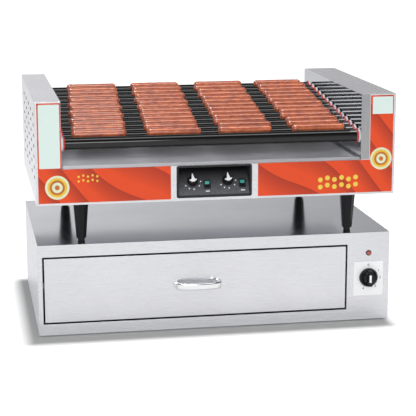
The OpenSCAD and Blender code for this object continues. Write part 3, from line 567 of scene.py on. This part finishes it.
# sheet metal with broken edges
sheetPieces = {
    "cabinet_shell": ("cabinetShell", "root", "cabinet_steel", "cabinet", 0.0012),
    "cabinet_front": ("cabinetFront", "root", "front_steel", "front", 0.0005),
    "drawer_front": ("drawerFront", "drawer", "front_steel", "front", 0.0012),
    "front_panel": ("frontPanel", "root", "front_steel", "front", 0.0005),
    "left_cover": ("leftCover", "root", "cover_steel", "cover", 0.0005),
    "right_cover": ("rightCover", "root", "cover_steel", "cover", 0.0005),
    "crumb_tray": ("crumbTray", "crumb_tray", "pan_steel", "tray", 0.0003),
    "drawer_pan": ("drawerPan", "drawer", "pan_steel", "pan", 0.0003),
    "left_inner_panel": ("leftInnerPanel", "root", "mirror_steel", "mirror", 0.0003),
    "right_inner_panel": ("rightInnerPanel", "root", "mirror_steel", "mirror", 0.0003),
    "control_bezel": ("controlBezel", "root", "bezel_black", "bezel", 0.0009),
    "legs": ("legSet", "root", "leg_black", "leg", 0.0012),
    "switch_housings": ("switchHousings", "root", "bezel_black", "control", 0.0004),
    "cord_inlets": ("cordInlets", "root", "bezel_black", "control", 0.0008),
    "gear_motor": ("gearMotor", "root", "motor_grey", "motor", 0.0012),
    "drive_sprocket": ("driveSprocket", "drive_sprocket", "drive_steel", "drive", 0.0003),
    "cabinet_base": ("cabinetBase", "root", "cabinet_steel", "cabinet", 0.0003),
    "chassis_pan": ("chassisPan", "root", "pan_steel", "pan", 0.0003),
    "drawer_rails": ("drawerRails", "root", "pan_steel", "pan", 0.0003),
}


def dressSheets():
    for nodeName, (name, body, slotName, look, width) in sheetPieces.items():
        piece = dressedCopy(nodeName, name, width)
        paint(piece, finish[look])
        if look in ("cabinet", "front", "cover"):
            regrainSides(piece, look + "Side")
        if nodeName == "left_cover":
            darkenSlots(piece)
        if nodeName in ("cabinet_front", "drawer_front"):
            darkenGap(piece)
        if nodeName == "control_bezel":
            paintFace(piece)
        if nodeName == "chassis_pan":
            # painted shade: the downward faces of the chassis pan get the darker steel
            paintFacing(piece, Vector((0, 0, -1)), "under")
        if nodeName in ("left_inner_panel", "right_inner_panel"):  # the sides away from the rollers
            # these sides get painted shade, dark as the unlit space behind them
            paintFacing(piece, Vector((-1 if nodeName.startswith("left") else 1, 0, 0)), "paintedShade")
        settle(piece, body, slotName, nodeName)


# painted shade: faces that lie in shadow get a near-black finish
def darken(piece, inShade):
    piece.data.materials.append(finish["paintedShade"])
    dark = len(piece.data.materials) - 1
    for face in piece.data.polygons:
        if inShade(face):
            face.material_index = dark


# painted shade on the thin walls of the vent slots, inside the side sheet
def darkenSlots(piece):
    outer, sheet, margin, smallest = leftCover[0].x, 0.0015, 0.0001, 0.0001
    darken(piece, lambda face: outer - margin < face.center.x < outer + sheet + margin
           and abs(face.normal.x) < 0.9 and face.area < smallest)


# painted shade on the edges that face each other round the drawer
def darkenGap(piece):
    low, high = cabinetBox
    inset = 0.004
    darken(piece, lambda face: low.x + inset < face.center.x < high.x - inset
           and low.z + inset < face.center.z < high.z - inset and abs(face.normal.y) < 0.3)


# faces that look one way get another finish
def paintFacing(piece, way, look):
    piece.data.materials.append(finish[look])
    for face in piece.data.polygons:
        if face.normal.dot(way) > 0.9:
            face.material_index = 1


# the sloping face is coarser than its frame, and paler, with painted shade that darkens it towards its top
def paintFace(piece):
    piece.data.materials.append(finish["face"])
    out = jointAxis["heat_knob_left_turn"].normalized()
    for face in piece.data.polygons:
        if abs(face.normal.dot(out)) > 0.98 and face.area > 0.0001:
            face.material_index = 1


dressSheets()


# the bare strip beside the right print is the folded edge of the polished panel
strip = {"wide": 0.0225, "low": 0.4345, "high": 0.6005, "thick": 0.0003}


def buildStrip():
    corners = [(rightInner, strip["low"]), (rightInner + strip["wide"], strip["low"]),
               (rightInner + strip["wide"], strip["high"]), (rightInner, strip["high"])]
    piece = cutPlate("uprightStrip", corners, frontFace - strip["thick"], strip["thick"])
    paint(piece, finish["upright"])
    settle(piece, "root", "mirror_steel")


buildStrip()
print("sheet metal dressed")


# frame pieces that keep their shape
plainLooks = {"heating_elements": "heater", "rotary_controls": "control", "drive_chain": "drive"}
for nodeName, look in plainLooks.items():
    paint(nodes[nodeName], finish[look])


# rollers: a coated tube with turned necks and a toothed end
roller = {"radius": 0.015, "neck": 0.007, "bore": 0.005, "clear": 0.0059, "leftNeck": 0.007,
          "rightNeck": 0.0154, "edge": 0.0012, "toothPlace": 0.012, "toothTip": 0.01012, "toothRoot": 0.0088,
          "toothHalf": 0.0014, "teeth": 12, "toothGap": (7, 23)}


def rollerOutline():
    low = leftInner + roller["clear"]
    high = rightInner - roller["clear"]
    r, edge, neck, bore = roller["radius"], roller["edge"], roller["neck"], roller["bore"]
    left = leftInner - roller["leftNeck"]
    right = rightInner + roller["rightNeck"]
    return [(bore, left), (neck - 0.0006, left), (neck, left + 0.0006), (neck, low), (r - edge, low),
            (r - edge * 0.3, low + edge * 0.3), (r, low + edge), (r, high - edge),
            (r - edge * 0.3, high - edge * 0.3), (r - edge, high), (neck, high), (neck, right - 0.0006),
            (neck - 0.0006, right), (bore, right)]


def toothedWheel(name, place):
    wheel = addShape("cylinder", name, vertices=roller["teeth"] * 4, radius=roller["toothTip"],
                     depth=2 * roller["toothHalf"], location=place, rotation=(0, math.pi / 2, 0))
    bpy.ops.object.transform_apply(location=True, rotation=True, scale=True)
    centre = Vector(place)
    share = roller["toothRoot"] / roller["toothTip"]
    pitch = 360 / roller["teeth"]
    gapFrom, gapTo = roller["toothGap"]
    for point in wheel.data.vertices:
        arm = Vector((0, point.co.y - centre.y, point.co.z - centre.z))
        turn = math.degrees(math.atan2(arm.z, arm.y)) % pitch
        if gapFrom < turn < gapTo:
            point.co.y = centre.y + arm.y * share
            point.co.z = centre.z + arm.z * share
    return wheel


def buildRollers():
    first = jointPlace["roller_01_turn"]
    pattern = turned("rollerPattern", rollerOutline(), (0, first.y, first.z), (1, 0, 0), 56, closed=True)
    wheel = toothedWheel("rollerWheel", (rightInner + roller["toothPlace"], first.y, first.z))
    pattern = joinPieces([pattern, wheel], "rollerPattern")
    dress(pattern, "roller", 30)
    names = sorted(n for n in nodes if n.startswith("roller_"))
    for nodeName in names:
        offset = jointPlace[nodeName + "_turn"] - first
        tube = copyPiece(pattern, (0, offset.y, offset.z), "rollerTube" + nodeName[-2:])
        settle(tube, nodeName, "roller_coating", nodeName)
    bpy.data.objects.remove(pattern)
    print("rollers turned:", len(names))


buildRollers()


# white bushes and red seal rings at both ends of each roller
bearing = {"flange": 0.018, "flangeDeep": 0.0055, "sleeve": 0.011, "sleeveDeep": 0.0055, "bore": 0.00705,
           "ring": 0.0185, "ringDeep": 0.004, "ringBore": 0.0156, "ringLip": 0.0166, "edge": 0.0008}


def buildBearings():
    first = jointPlace["roller_01_turn"]
    b = bearing
    e = b["edge"]
    bushOutline = [(b["bore"], -b["flangeDeep"]), (b["flange"] - e, -b["flangeDeep"]),
                   (b["flange"] - e * 0.3, -b["flangeDeep"] + e * 0.3), (b["flange"], -b["flangeDeep"] + e),
                   (b["flange"], 0), (b["sleeve"], 0), (b["sleeve"], b["sleeveDeep"]),
                   (b["bore"], b["sleeveDeep"])]
    front = -b["flangeDeep"] - b["ringDeep"]
    ringOutline = [(b["ringBore"], front + e), (b["ringBore"] + e / 2, front), (b["ringLip"], front + e / 2),
                   (b["ring"] - e, -b["flangeDeep"] - 2 * e), (b["ring"], -b["flangeDeep"] - e),
                   (b["ring"], -b["flangeDeep"]), (b["ringBore"], -b["flangeDeep"])]
    for name, outline, look, slotName, nodeName in (
            ("bearingBushes", bushOutline, "bush", "bush_white", "bearing_bushes"),
            ("sealRings", ringOutline, "seal", "seal_red", "seal_rings")):
        rightOne = turned(name, outline, (rightInner, first.y, first.z), (1, 0, 0), 40, closed=True)
        leftOne = turned(name, outline, (leftInner, first.y, first.z), (-1, 0, 0), 40, closed=True)
        pair = joinPieces([rightOne, leftOne], name)
        dress(pair, look, 30)
        row = [pair]
        for key in sorted(k for k in jointPlace if k.startswith("roller_"))[1:]:
            offset = jointPlace[key] - first
            row.append(copyPiece(pair, (0, offset.y, offset.z), name))
        row = joinPieces(row, name)
        row.visible_glossy = False  # the mirrored rings don't show in the photograph
        settle(row, "root", slotName, nodeName)
    print("bushes and seal rings turned")


buildBearings()


# hot dogs: one skin turned, bent and dimpled four ways, then laid in rows
sausage = {"radius": 0.011, "half": 0.138 / 2, "end": 0.010, "tip": 0.0016, "inset": 0.0006, "rounds": 5,
           "rings": 18, "sides": 28, "bend": 0.0006, "swell": 0.0003, "kinds": 4}


def sausageOutline(kind):
    half, end, tip, inset = (sausage[k] for k in ("half", "end", "tip", "inset"))
    rounds = sausage["rounds"]

    def rounding(step):
        angle = math.pi / 2 * step / rounds
        return tip + (sausage["radius"] - tip) * math.sin(angle), end * (1 - math.cos(angle))

    outline = [(0.0, -half + tip), (tip, -half + inset)]
    outline += [(radius, -half + back) for radius, back in map(rounding, range(1, rounds + 1))]
    body = half - end
    for step in range(1, sausage["rings"]):
        along = -body + 2 * body * step / sausage["rings"]
        swell = sausage["swell"] * math.sin(along * (90 + 25 * kind) + 1.7 * kind)
        outline.append((sausage["radius"] - abs(swell), along))
    outline += [(radius, half - back) for radius, back in map(rounding, range(rounds, 0, -1))]
    return outline + [(tip, half - inset), (0.0, half - tip)]


def buildSausages():
    kinds = []
    for kind in range(sausage["kinds"]):
        one = turned("sausageKind", sausageOutline(kind), (0, 0, 0), (1, 0, 0), sausage["sides"])
        for point in one.data.vertices:
            share = point.co.x / (2 * sausage["half"]) * 2
            point.co.z += sausage["bend"] * (0.5 - share * share) * (1 if kind % 2 else -0.6)
        dress(one, "sausage", 80)
        kinds.append(one)
    rows = sorted(n for n in nodes if n.startswith("hot_dogs_"))
    for index, nodeName in enumerate(rows):
        place = jointPlace[nodeName + "_roll"]
        name = "hotDogs" + nodeName[-2:]
        row = [copyPiece(kinds[(index * 3 + column) % len(kinds)], (x, place.y, place.z), name)
               for column, x in enumerate(sorted(nodeIslands(nodeName)))]
        row = joinPieces(row, name)
        row.visible_glossy = False  # the polished end panels mirror the rollers alone, as in the photograph
        settle(row, nodeName, "sausage", nodeName)
    for one in kinds:
        bpy.data.objects.remove(one)
    print("hot dogs laid:", len(rows), "rows")


# the middles, along x, of the separate solids in a node
def nodeIslands(nodeName):
    xs = sorted(v.co.x for v in nodes[nodeName].data.vertices)
    groups = [[xs[0]]]
    for x in xs[1:]:
        if x - groups[-1][-1] > 0.02:
            groups.append([x])
        else:
            groups[-1].append(x)
    middles = []
    low = None
    for start, end in [(group[0], group[-1]) for group in groups]:
        if end - start > 0.1:
            middles.append((start + end) / 2)
        elif low is None:
            low = start
        else:
            middles.append((low + end) / 2)
            low = None
    return middles


buildSausages()


# chrome pull: a flat bow, its ends flat on the drawer front
pull = {"endPower": 0.8, "outPower": 0.6, "thick": 0.0088, "ends": 0.0115, "steps": 36, "bevel": 0.0040}


def bow(half, out):
    points = []
    for step in range(pull["steps"] + 1):
        angle = math.pi * step / pull["steps"]
        across, forward = math.cos(angle), math.sin(angle)
        points.append((math.copysign(abs(across) ** pull["endPower"], across) * half,
                       -out * abs(forward) ** pull["outPower"]))
    return points


def buildPull():
    low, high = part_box("drawer_pull")
    middle = (low.x + high.x) / 2
    half, out = (high.x - low.x) / 2, high.y - low.y
    outer = bow(half, out)
    inner = bow(half - pull["ends"], out - pull["thick"])
    outline = [(middle + x, high.y + y) for x, y in outer + inner[::-1]]
    piece = raisedPlate("drawerPull", outline, low.z, high.z - low.z, pull["bevel"], 5)
    dress(piece, "chrome", 40)
    settle(piece, "drawer", "pull_chrome", "drawer_pull")
    print("pull bent")


buildPull()


# dial: a printed plate with plain numbers, a skirted knob and a lamp over it
dial = {"plate": (0.362, 0.441, 0.068, 0.159), "plateThick": 0.0006, "skirt": 0.009, "rim": 0.0015,
        "taper": 0.002, "hub": 0.0165, "hubOut": 0.0135, "gripHalf": 0.006, "gripLength": 0.0415,
        "bar": (0.0055, 0.020), "tick": (0.0034, 0.0045), "tickIn": 0.0095, "markRadius": 0.0325,
        "numberSize": 0.0095, "flutes": 24, "fluteDeep": 0.0006}
dialMarks = {"0": 90, "1": 32, "2": -4, "3": -52, "4": -113}  # number: degrees from the right
lamp = {"rim": 0.0022, "lens": 0.0052, "dome": 0.006, "foot": 0.0012, "shoulder": 0.0012}


def buildDial():
    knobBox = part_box("dial_knob")
    axis = jointPlace["dial_knob_turn"]
    x, z, back = axis.x, axis.z, axis.y
    front = knobBox[0].y
    radius = (knobBox[1].x - knobBox[0].x) / 2
    rim, taper = dial["rim"], dial["taper"]
    skirtOut, hub, hubOut = dial["skirt"], dial["hub"], dial["hubOut"]
    skirt = turned("dialKnob", [(0, 0), (radius - rim, 0), (radius, rim), (radius - taper, skirtOut - rim),
                                (radius - taper - rim, skirtOut), (hub + rim, skirtOut - rim), (hub, skirtOut),
                                (hub - rim, hubOut - rim), (hub - 2 * rim, hubOut), (0, hubOut)],
                   (x, back, z), (0, -1, 0), 96)
    flute(skirt, (x, back, z), (0, -1, 0), dial["flutes"], dial["fluteDeep"], radius - 2.2 * taper)
    dress(skirt, "knob", 30)
    halfLong = dial["gripLength"] / 2
    grip = block("dialGrip", (x - dial["gripHalf"], front, z - halfLong),
                 (x + dial["gripHalf"], back - dial["skirt"] / 2, z + halfLong), 0.002)
    dress(grip, "knob", 40)
    wide, tall = dial["bar"]
    bar = cutPlate("dialBar", roundedCorners(x - wide / 2, x + wide / 2, z - tall / 2, z + tall / 2, 0.0024),
                   front - 0.0002, 0.0004)
    wide, tall = dial["tick"]
    tickLow = z + radius - dial["tickIn"]
    tick = cutPlate("dialTick", roundedCorners(x - wide / 2, x + wide / 2, tickLow, tickLow + tall, 0.001),
                    back - dial["skirt"] - 0.0003, 0.0006)
    for mark in (bar, tick):
        paint(mark, finish["white"])
    shaft = turned("dialShaft", [(0, 0), (0.003, 0), (0.003, knobBox[1].y - back), (0, knobBox[1].y - back)],
                   (x, back, z), (0, 1, 0), 24)
    paint(shaft, finish["drive"])
    settle(joinPieces([skirt, grip, bar, tick, shaft], "dialKnob"), "dial_knob", "knob_black", "dial_knob")


def buildDialPlate():
    axis = jointPlace["dial_knob_turn"]
    x0, x1, z0, z1 = dial["plate"]
    face = cabinetFace - dial["plateThick"]
    plate = cutPlate("dialPlate", roundedCorners(x0, x1, z0, z1, 0.002), face, dial["plateThick"], 0.0002)
    paint(plate, finish["white"])
    settle(plate, "root", "print_white")
    marks = []
    for text, degrees in dialMarks.items():
        angle = math.radians(degrees)
        mark = addNumber(text, axis.x + dial["markRadius"] * math.cos(angle), face,
                         axis.z + dial["markRadius"] * math.sin(angle), dial["numberSize"])
        paint(mark, finish["ink"])
        marks.append(mark)
    settle(joinPieces(marks, "dialNumbers"), "root", "knob_black")


def buildLamp():
    low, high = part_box("pilot_lamp")
    x, z = (low.x + high.x) / 2, (low.z + high.z) / 2
    radius = (high.x - low.x) / 2
    body = radius - lamp["shoulder"]
    deep = cabinetFace - high.y
    rim = turned("pilotLamp", [(0, deep), (body, deep), (body, 0), (radius, 0), (radius, lamp["rim"] - 0.0006),
                               (radius - 0.0006, lamp["rim"]), (lamp["lens"], lamp["rim"]),
                               (lamp["lens"], 0.001), (0, 0.001)], (x, cabinetFace, z), (0, -1, 0), 40)
    dress(rim, "lampRim", 30)
    foot = lamp["foot"]
    dome = [(0, foot)]
    for degrees in range(0, 90, 15):
        angle = math.radians(degrees)
        dome.append((lamp["lens"] * math.cos(angle), foot + (lamp["dome"] - foot) * math.sin(angle)))
    dome.append((0, lamp["dome"]))
    lens = turned("lampLens", dome, (x, cabinetFace, z), (0, -1, 0), 40)
    dress(lens, "lens", 60)
    settle(joinPieces([rim, lens], "pilotLamp"), "root", "lamp_red", "pilot_lamp")


buildDial()
buildDialPlate()
buildLamp()
print("dial, plate and lamp set")


# heat knobs on the sloping face, with dots round them and a lit rocker beside each
faceTilt = math.atan2(-jointAxis["heat_knob_left_turn"].z, jointAxis["heat_knob_left_turn"].y)
heatKnob = {"lift": 0.001, "radius": 0.014, "skirt": 0.005, "rim": 0.0008, "core": 0.0095, "coreOut": 0.0125,
            "shaft": 0.003, "shaftDeep": 0.012, "bladeFrom": 0.006, "out": 0.017, "bladeTurn": 5,
            "blade": ((3.4, -5.2), (4.6, -4.0), (9.0, -1.4), (9.4, 1.0), (5.2, 0.4), (3.9, 3.0), (0.7, 16.2)),
            "dotRadius": 0.0208, "dotSize": 0.0017, "dots": (-148, -117, -83, -36, -2), "flutes": 20,
            "fluteDeep": 0.0005}
switchBar = {"drop": 0.0185, "half": 0.0052, "tall": 0.0026, "corner": 0.0008}
faceInk = 0.0002


def onFace(jointName):
    return Matrix.Translation(jointPlace[jointName]) @ Matrix.Rotation(-faceTilt, 4, "X")


def buildHeatKnob(side):
    matrix = onFace("heat_knob_" + side + "_turn")
    k = heatKnob
    lift, rim, radius, core, coreOut = (k[name] for name in ("lift", "rim", "radius", "core", "coreOut"))
    top = lift + k["skirt"]
    body = turned("heatKnob", [(0, lift), (radius - rim, lift), (radius, lift + rim), (radius - rim, top - rim),
                               (radius - 2 * rim, top), (core, top), (core - rim / 2, coreOut - rim),
                               (core - 2 * rim, coreOut), (0, coreOut)], (0, 0, 0), (0, -1, 0), 80)
    flute(body, (0, 0, 0), (0, -1, 0), k["flutes"], k["fluteDeep"], radius - 1.5 * rim)
    dress(body, "knob", 30)
    # a white pointer on the grip; its wide base and side wings are a painted highlight of the lit grip and rim
    rightSide = [(x * mm, z * mm) for x, z in k["blade"]]
    corners = rightSide + [(-x, z) for x, z in reversed(rightSide)]
    blade = cutPlate("knobPointerHighlight", corners, -k["out"], k["out"] - k["bladeFrom"], 0.0006)
    blade.data.transform(Matrix.Rotation(math.radians(-k["bladeTurn"]), 4, "Y"))
    dress(blade, "white", 40)
    shaft = disc("knobShaft", k["shaft"], -k["shaftDeep"], lift, (0, 0, 0), 20)
    paint(shaft, finish["drive"])
    piece = joinPieces([body, blade, shaft], "heatKnob" + side.capitalize())
    piece.data.transform(matrix)
    settle(piece, "heat_knob_" + side, "knob_black", "heat_knob_" + side)


def buildFaceMarks():
    marks = []
    for side in ("left", "right"):
        matrix = onFace("heat_knob_" + side + "_turn")
        for degrees in heatKnob["dots"]:
            angle = math.radians(degrees)
            place = (heatKnob["dotRadius"] * math.cos(angle), 0, heatKnob["dotRadius"] * math.sin(angle))
            dot = disc("faceDot", heatKnob["dotSize"], 0, faceInk, place, 14)
            dot.data.transform(matrix)
            marks.append(dot)
        pivot = jointPlace["rocker_" + side + "_tilt"]
        half, tall = switchBar["half"], switchBar["tall"] / 2
        corners = roundedCorners(-half, half, -tall, tall, switchBar["corner"])
        dash = cutPlate("faceDash", corners, -faceInk, faceInk)
        dash.data.transform(Matrix.Translation((pivot.x, 0, 0)) @ faceUnder(pivot))
        marks.append(dash)
    for mark in marks:
        paint(mark, finish["white"])
    settle(joinPieces(marks, "faceMarks"), "root", "print_white")


# the place on the sloping face a little below a rocker's pivot, at x = 0
def faceUnder(pivot):
    knob = jointPlace["heat_knob_left_turn"]
    up = Vector((0, math.sin(faceTilt), math.cos(faceTilt)))
    rise = (pivot - knob).dot(up) - switchBar["drop"]
    place = Vector((0, knob.y, knob.z)) + up * rise
    return Matrix.Translation(place) @ Matrix.Rotation(-faceTilt, 4, "X")


def buildRocker(side):
    nodeName = "rocker_" + side
    pivot = jointPlace[nodeName + "_tilt"]
    piece = dressedCopy(nodeName, "rocker" + side.capitalize(), 0.0005, 3)
    up = Vector((0, math.sin(faceTilt), math.cos(faceTilt)))
    editAll(piece)
    bpy.ops.mesh.bisect(plane_co=pivot, plane_no=up)
    leaveEdit()
    paint(piece, finish["knob"], finish["lit"])
    for face in piece.data.polygons:
        face.material_index = 1 if (face.center - pivot).dot(up) > 0.0002 else 0
    settle(piece, nodeName, "rocker_green", nodeName)


for side in ("left", "right"):
    buildHeatKnob(side)
    buildRocker(side)
buildFaceMarks()
print("heat controls set")


# prints on the front: bare steel stays round the bezel and beside the rollers
prints = {"leftBand": (-0.4514, -0.122), "rightBand": (0.100, 0.4513), "leftColumn": -0.3937,
          "rightColumn": 0.391, "bandLow": 0.3485, "bandHigh": 0.4328, "columnHigh": 0.5975, "thick": 0.0003,
          "leftLabel": (-0.4480, -0.3965, 0.436, 0.594), "rightLabel": (0.396, 0.449, 0.550, 0.594)}


def buildPrints():
    p = prints
    face = frontFace - p["thick"]
    x0, x1 = p["leftBand"]
    left = cutPlate("leftPrint", [(x0, p["bandLow"]), (x1, p["bandLow"]), (x1, p["bandHigh"]),
                                  (p["leftColumn"], p["bandHigh"]), (p["leftColumn"], p["columnHigh"]),
                                  (x0, p["columnHigh"])], face, p["thick"])
    x0, x1 = p["rightBand"]
    right = cutPlate("rightPrint", [(x0, p["bandLow"]), (x1, p["bandLow"]), (x1, p["columnHigh"]),
                                    (p["rightColumn"], p["columnHigh"]), (p["rightColumn"], p["bandHigh"]),
                                    (x0, p["bandHigh"])], face, p["thick"])
    for piece in (left, right):
        paint(piece, finish["decal"])
        settle(piece, "root", "print_orange")
    for name in ("leftLabel", "rightLabel"):
        label = cutPlate(name, roundedCorners(*p[name], 0.0015), face - p["thick"], p["thick"])
        paint(label, finish["label"])
        settle(label, "root", "print_white")


buildPrints()


# generic roundels and dots on the prints
roundels = {"left": (-0.405, 0.388, 0.030), "right": (0.4205, 0.4350, 0.0285), "layer": 0.0003,
            "rings": ((1.0, "cream"), (0.80, "mustard"), (0.62, "ochre"), (0.44, "cream"), (0.2, "ochre"))}
dots = {"right": (0.262, 0.366, 6, 2, 0.0185, 0.0062), "left": (-0.352, 0.402, 5, 2, 0.0115, 0.0028)}


def buildMotifs():
    for side in ("left", "right"):
        x, z, radius = roundels[side]
        rings = []
        for layer, (share, look) in enumerate(roundels["rings"]):
            lift = prints["thick"] + roundels["layer"] * layer
            ring = disc("printRing", radius * share, lift, lift + roundels["layer"], (x, frontFace, z), 48)
            paint(ring, finish[look])
            rings.append(ring)
        settle(joinPieces(rings, side + "Roundel"), "root", "print_yellow")
        x, z, columns, rows, pitch, size = dots[side]
        row = []
        for column in range(columns):
            for line in range(rows):
                place = (x + column * pitch, frontFace, z + line * pitch + (column % 2) * pitch * 0.25)
                dot = disc("printDot", size, prints["thick"], prints["thick"] * 2, place, 20)
                paint(dot, finish["yellow"])
                row.append(dot)
        settle(joinPieces(row, side + "Dots"), "root", "print_yellow")


buildMotifs()
print("prints laid on the front")


# feet under the legs and under the cabinet
legFoot = {"radius": 0.0095, "height": 0.014, "waist": 0.0082, "edge": 0.0010, "stud": 0.005,
           "studLength": 0.022}
padFoot = {"radius": 0.017, "edge": 0.0008}


def footPlaces(nodeName, radius):
    low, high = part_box(nodeName)
    xs, ys = (low.x + radius, high.x - radius), (low.y + radius, high.y - radius)
    return [(x, y) for x in xs for y in ys], low.z


def setFeet(name, outline, places, z, look, slotName, nodeName):
    x0, y0 = places[0]
    first = turned(name, outline, (x0, y0, z), (0, 0, 1), 40)
    dress(first, look, 30)
    rest = [copyPiece(first, (x - x0, y - y0, 0), name) for x, y in places[1:]]
    settle(joinPieces([first] + rest, name), "root", slotName, nodeName)


def buildFeet():
    radius, height, edge, waist, stud = (legFoot[k] for k in ("radius", "height", "edge", "waist", "stud"))
    places, z = footPlaces("leg_feet", radius)
    studTop, capRadius = height + legFoot["studLength"], radius - 0.0004
    outline = [(0, 0), (radius - edge, 0), (radius, edge), (radius, 0.0045), (waist, 0.006), (waist, 0.0095),
               (capRadius, 0.011), (capRadius, height), (stud, height), (stud, studTop), (0, studTop)]
    setFeet("legFeet", outline, places, z, "leg", "leg_black", "leg_feet")
    radius, edge = padFoot["radius"], padFoot["edge"]
    places, z = footPlaces("cabinet_feet", radius)
    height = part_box("cabinet_feet")[1].z - z
    outline = [(0, 0), (radius - 2 * edge, 0), (radius - edge, edge), (radius, height), (0, height)]
    setFeet("cabinetFeet", outline, places, z, "rubber", "foot_rubber", "cabinet_feet")


buildFeet()
print("feet set")


# stage and light
studio = {"floor": 80, "floorColor": 0.90, "floorSeen": 0.56, "glowNear": 0.0, "glowFar": 0.80,
          "glowReach": 0.036, "shadowShift": 0.014, "glowGlossy": 0.12, "worldDiffuse": 0.55, "glossyTop": 0.12,
          "glossyTopFrom": 0.12, "glossyTopTo": 0.5, "glossyRight": 0.62, "glossyRightFrom": 0.05,
          "glossyRightTo": 0.28}
studioLamps = {  # name: place, size, power, lights dull surfaces, shows in glossy ones
    "keyLamp": ((0.5, 0.5, 4.0), (0.9, 0.9), 70, True, False),
    "cardLamp": ((-1.03, -0.35, 4.0), (0.95, 2.1), 105, False, True),
    "softLamp": ((1.0, -0.55, 4.0), (2.6, 1.4), 46, False, True),
    "fillLamp": ((-1.0, -5.5, 2.4), (3.4, 1.6), 105, True, True),
}


# the floor glows whiter away from the object; in a band round it, shifted to the front and left, it is seen
# darker than it is lit, a painted shadow over its real one
def glowByDistance(tree):
    low, high = cadBounds
    middle = [(a + b) / 2 for a, b in zip(low, high)]
    where = addNode(tree, "TexCoord")
    shift = studio["shadowShift"]
    centred = addNode(tree, "Mapping", Location=(shift - middle[0], shift - middle[1], 0))
    tree.links.new(where.outputs["Object"], centred.inputs["Vector"])
    split = addNode(tree, "SeparateXYZ")
    tree.links.new(centred.outputs["Vector"], split.inputs["Vector"])
    away = addNode(tree, "CombineXYZ")
    for axis, half in (("X", (high[0] - low[0]) / 2), ("Y", (high[1] - low[1]) / 2)):
        beyond = calculate(tree, "SUBTRACT", calculate(tree, "ABSOLUTE", split.outputs[axis]), half)
        tree.links.new(calculate(tree, "MAXIMUM", beyond, 0), away.inputs[axis])
    distance = addNode(tree, "VectorMath", operation="LENGTH")
    tree.links.new(away.outputs["Vector"], distance.inputs[0])
    return spread(tree, distance.outputs["Value"], studio["glowNear"], studio["glowFar"], 0,
                  studio["glowReach"])


def addFloor():
    floor = addShape("plane", "studioFloor", size=studio["floor"])
    material, tree, shader = startMaterial("studioFloor")
    tree.nodes.remove(shader)
    path = addNode(tree, "LightPath").outputs
    mirrored = calculate(tree, "MAXIMUM", path["Is Glossy Ray"], path["Is Transmission Ray"])
    inMetal = calculate(tree, "MULTIPLY", mirrored, studio["glowGlossy"])
    diffuse = addNode(tree, "BsdfDiffuse")
    # to the camera the floor's colour is darker, which deepens the band near the object as painted shade
    feedAll(tree, diffuse, Color=blendColors(tree, path["Is Camera Ray"], (studio["floorColor"],) * 3,
                                             (studio["floorSeen"],) * 3))
    glow = addNode(tree, "Emission")
    feedAll(tree, glow, Strength=blendValues(tree, path["Is Camera Ray"], inMetal, glowByDistance(tree)))
    both = addNode(tree, "AddShader")
    tree.links.new(diffuse.outputs["BSDF"], both.inputs[0])
    tree.links.new(glow.outputs["Emission"], both.inputs[1])
    tree.links.new(both.outputs["Shader"], tree.nodes["Material Output"].inputs["Surface"])
    floor.data.materials.append(material)


# white to the camera, an even light on dull surfaces, and for reflections a white band
# low down that dims overhead and towards the right, as round a lit table in a dark room
def addWorld():
    world = bpy.data.worlds.new("studioWorld")
    bpy.context.scene.world = world
    world.use_nodes = True
    tree = world.node_tree
    parts = placeParts(tree, "Generated")
    s = studio
    high = spread(tree, parts["Z"], 1, s["glossyTop"], s["glossyTopFrom"], s["glossyTopTo"])
    right = spread(tree, parts["X"], 1, s["glossyRight"], s["glossyRightFrom"], s["glossyRightTo"])
    path = addNode(tree, "LightPath").outputs
    shade = calculate(tree, "MULTIPLY", high, right)
    unseen = blendValues(tree, path["Is Glossy Ray"], s["worldDiffuse"], shade)
    seen = calculate(tree, "MAXIMUM", path["Is Camera Ray"], path["Is Transmission Ray"])
    feedAll(tree, tree.nodes["Background"], Color=(1, 1, 1), Strength=blendValues(tree, seen, unseen, 1.0))


def addLamp(name, place, size, power, onDull, inGloss):
    data = bpy.data.lights.new(name, "AREA")
    data.shape = "RECTANGLE"
    data.size, data.size_y = size
    data.energy = power
    lamp = bpy.data.objects.new(name, data)
    bpy.context.scene.collection.objects.link(lamp)
    lamp.location = place
    lamp.visible_diffuse, lamp.visible_glossy = onDull, inGloss
    if place[2] < 3:  # the ones overhead look straight down
        lamp.rotation_euler = (Vector((0, 0, 0.4)) - Vector(place)).to_track_quat("-Z", "Y").to_euler()


addFloor()
addWorld()
for name, settings in studioLamps.items():
    addLamp(name, *settings)
bpy.context.scene.view_settings.view_transform = "Standard"
print("stage and lamps set")
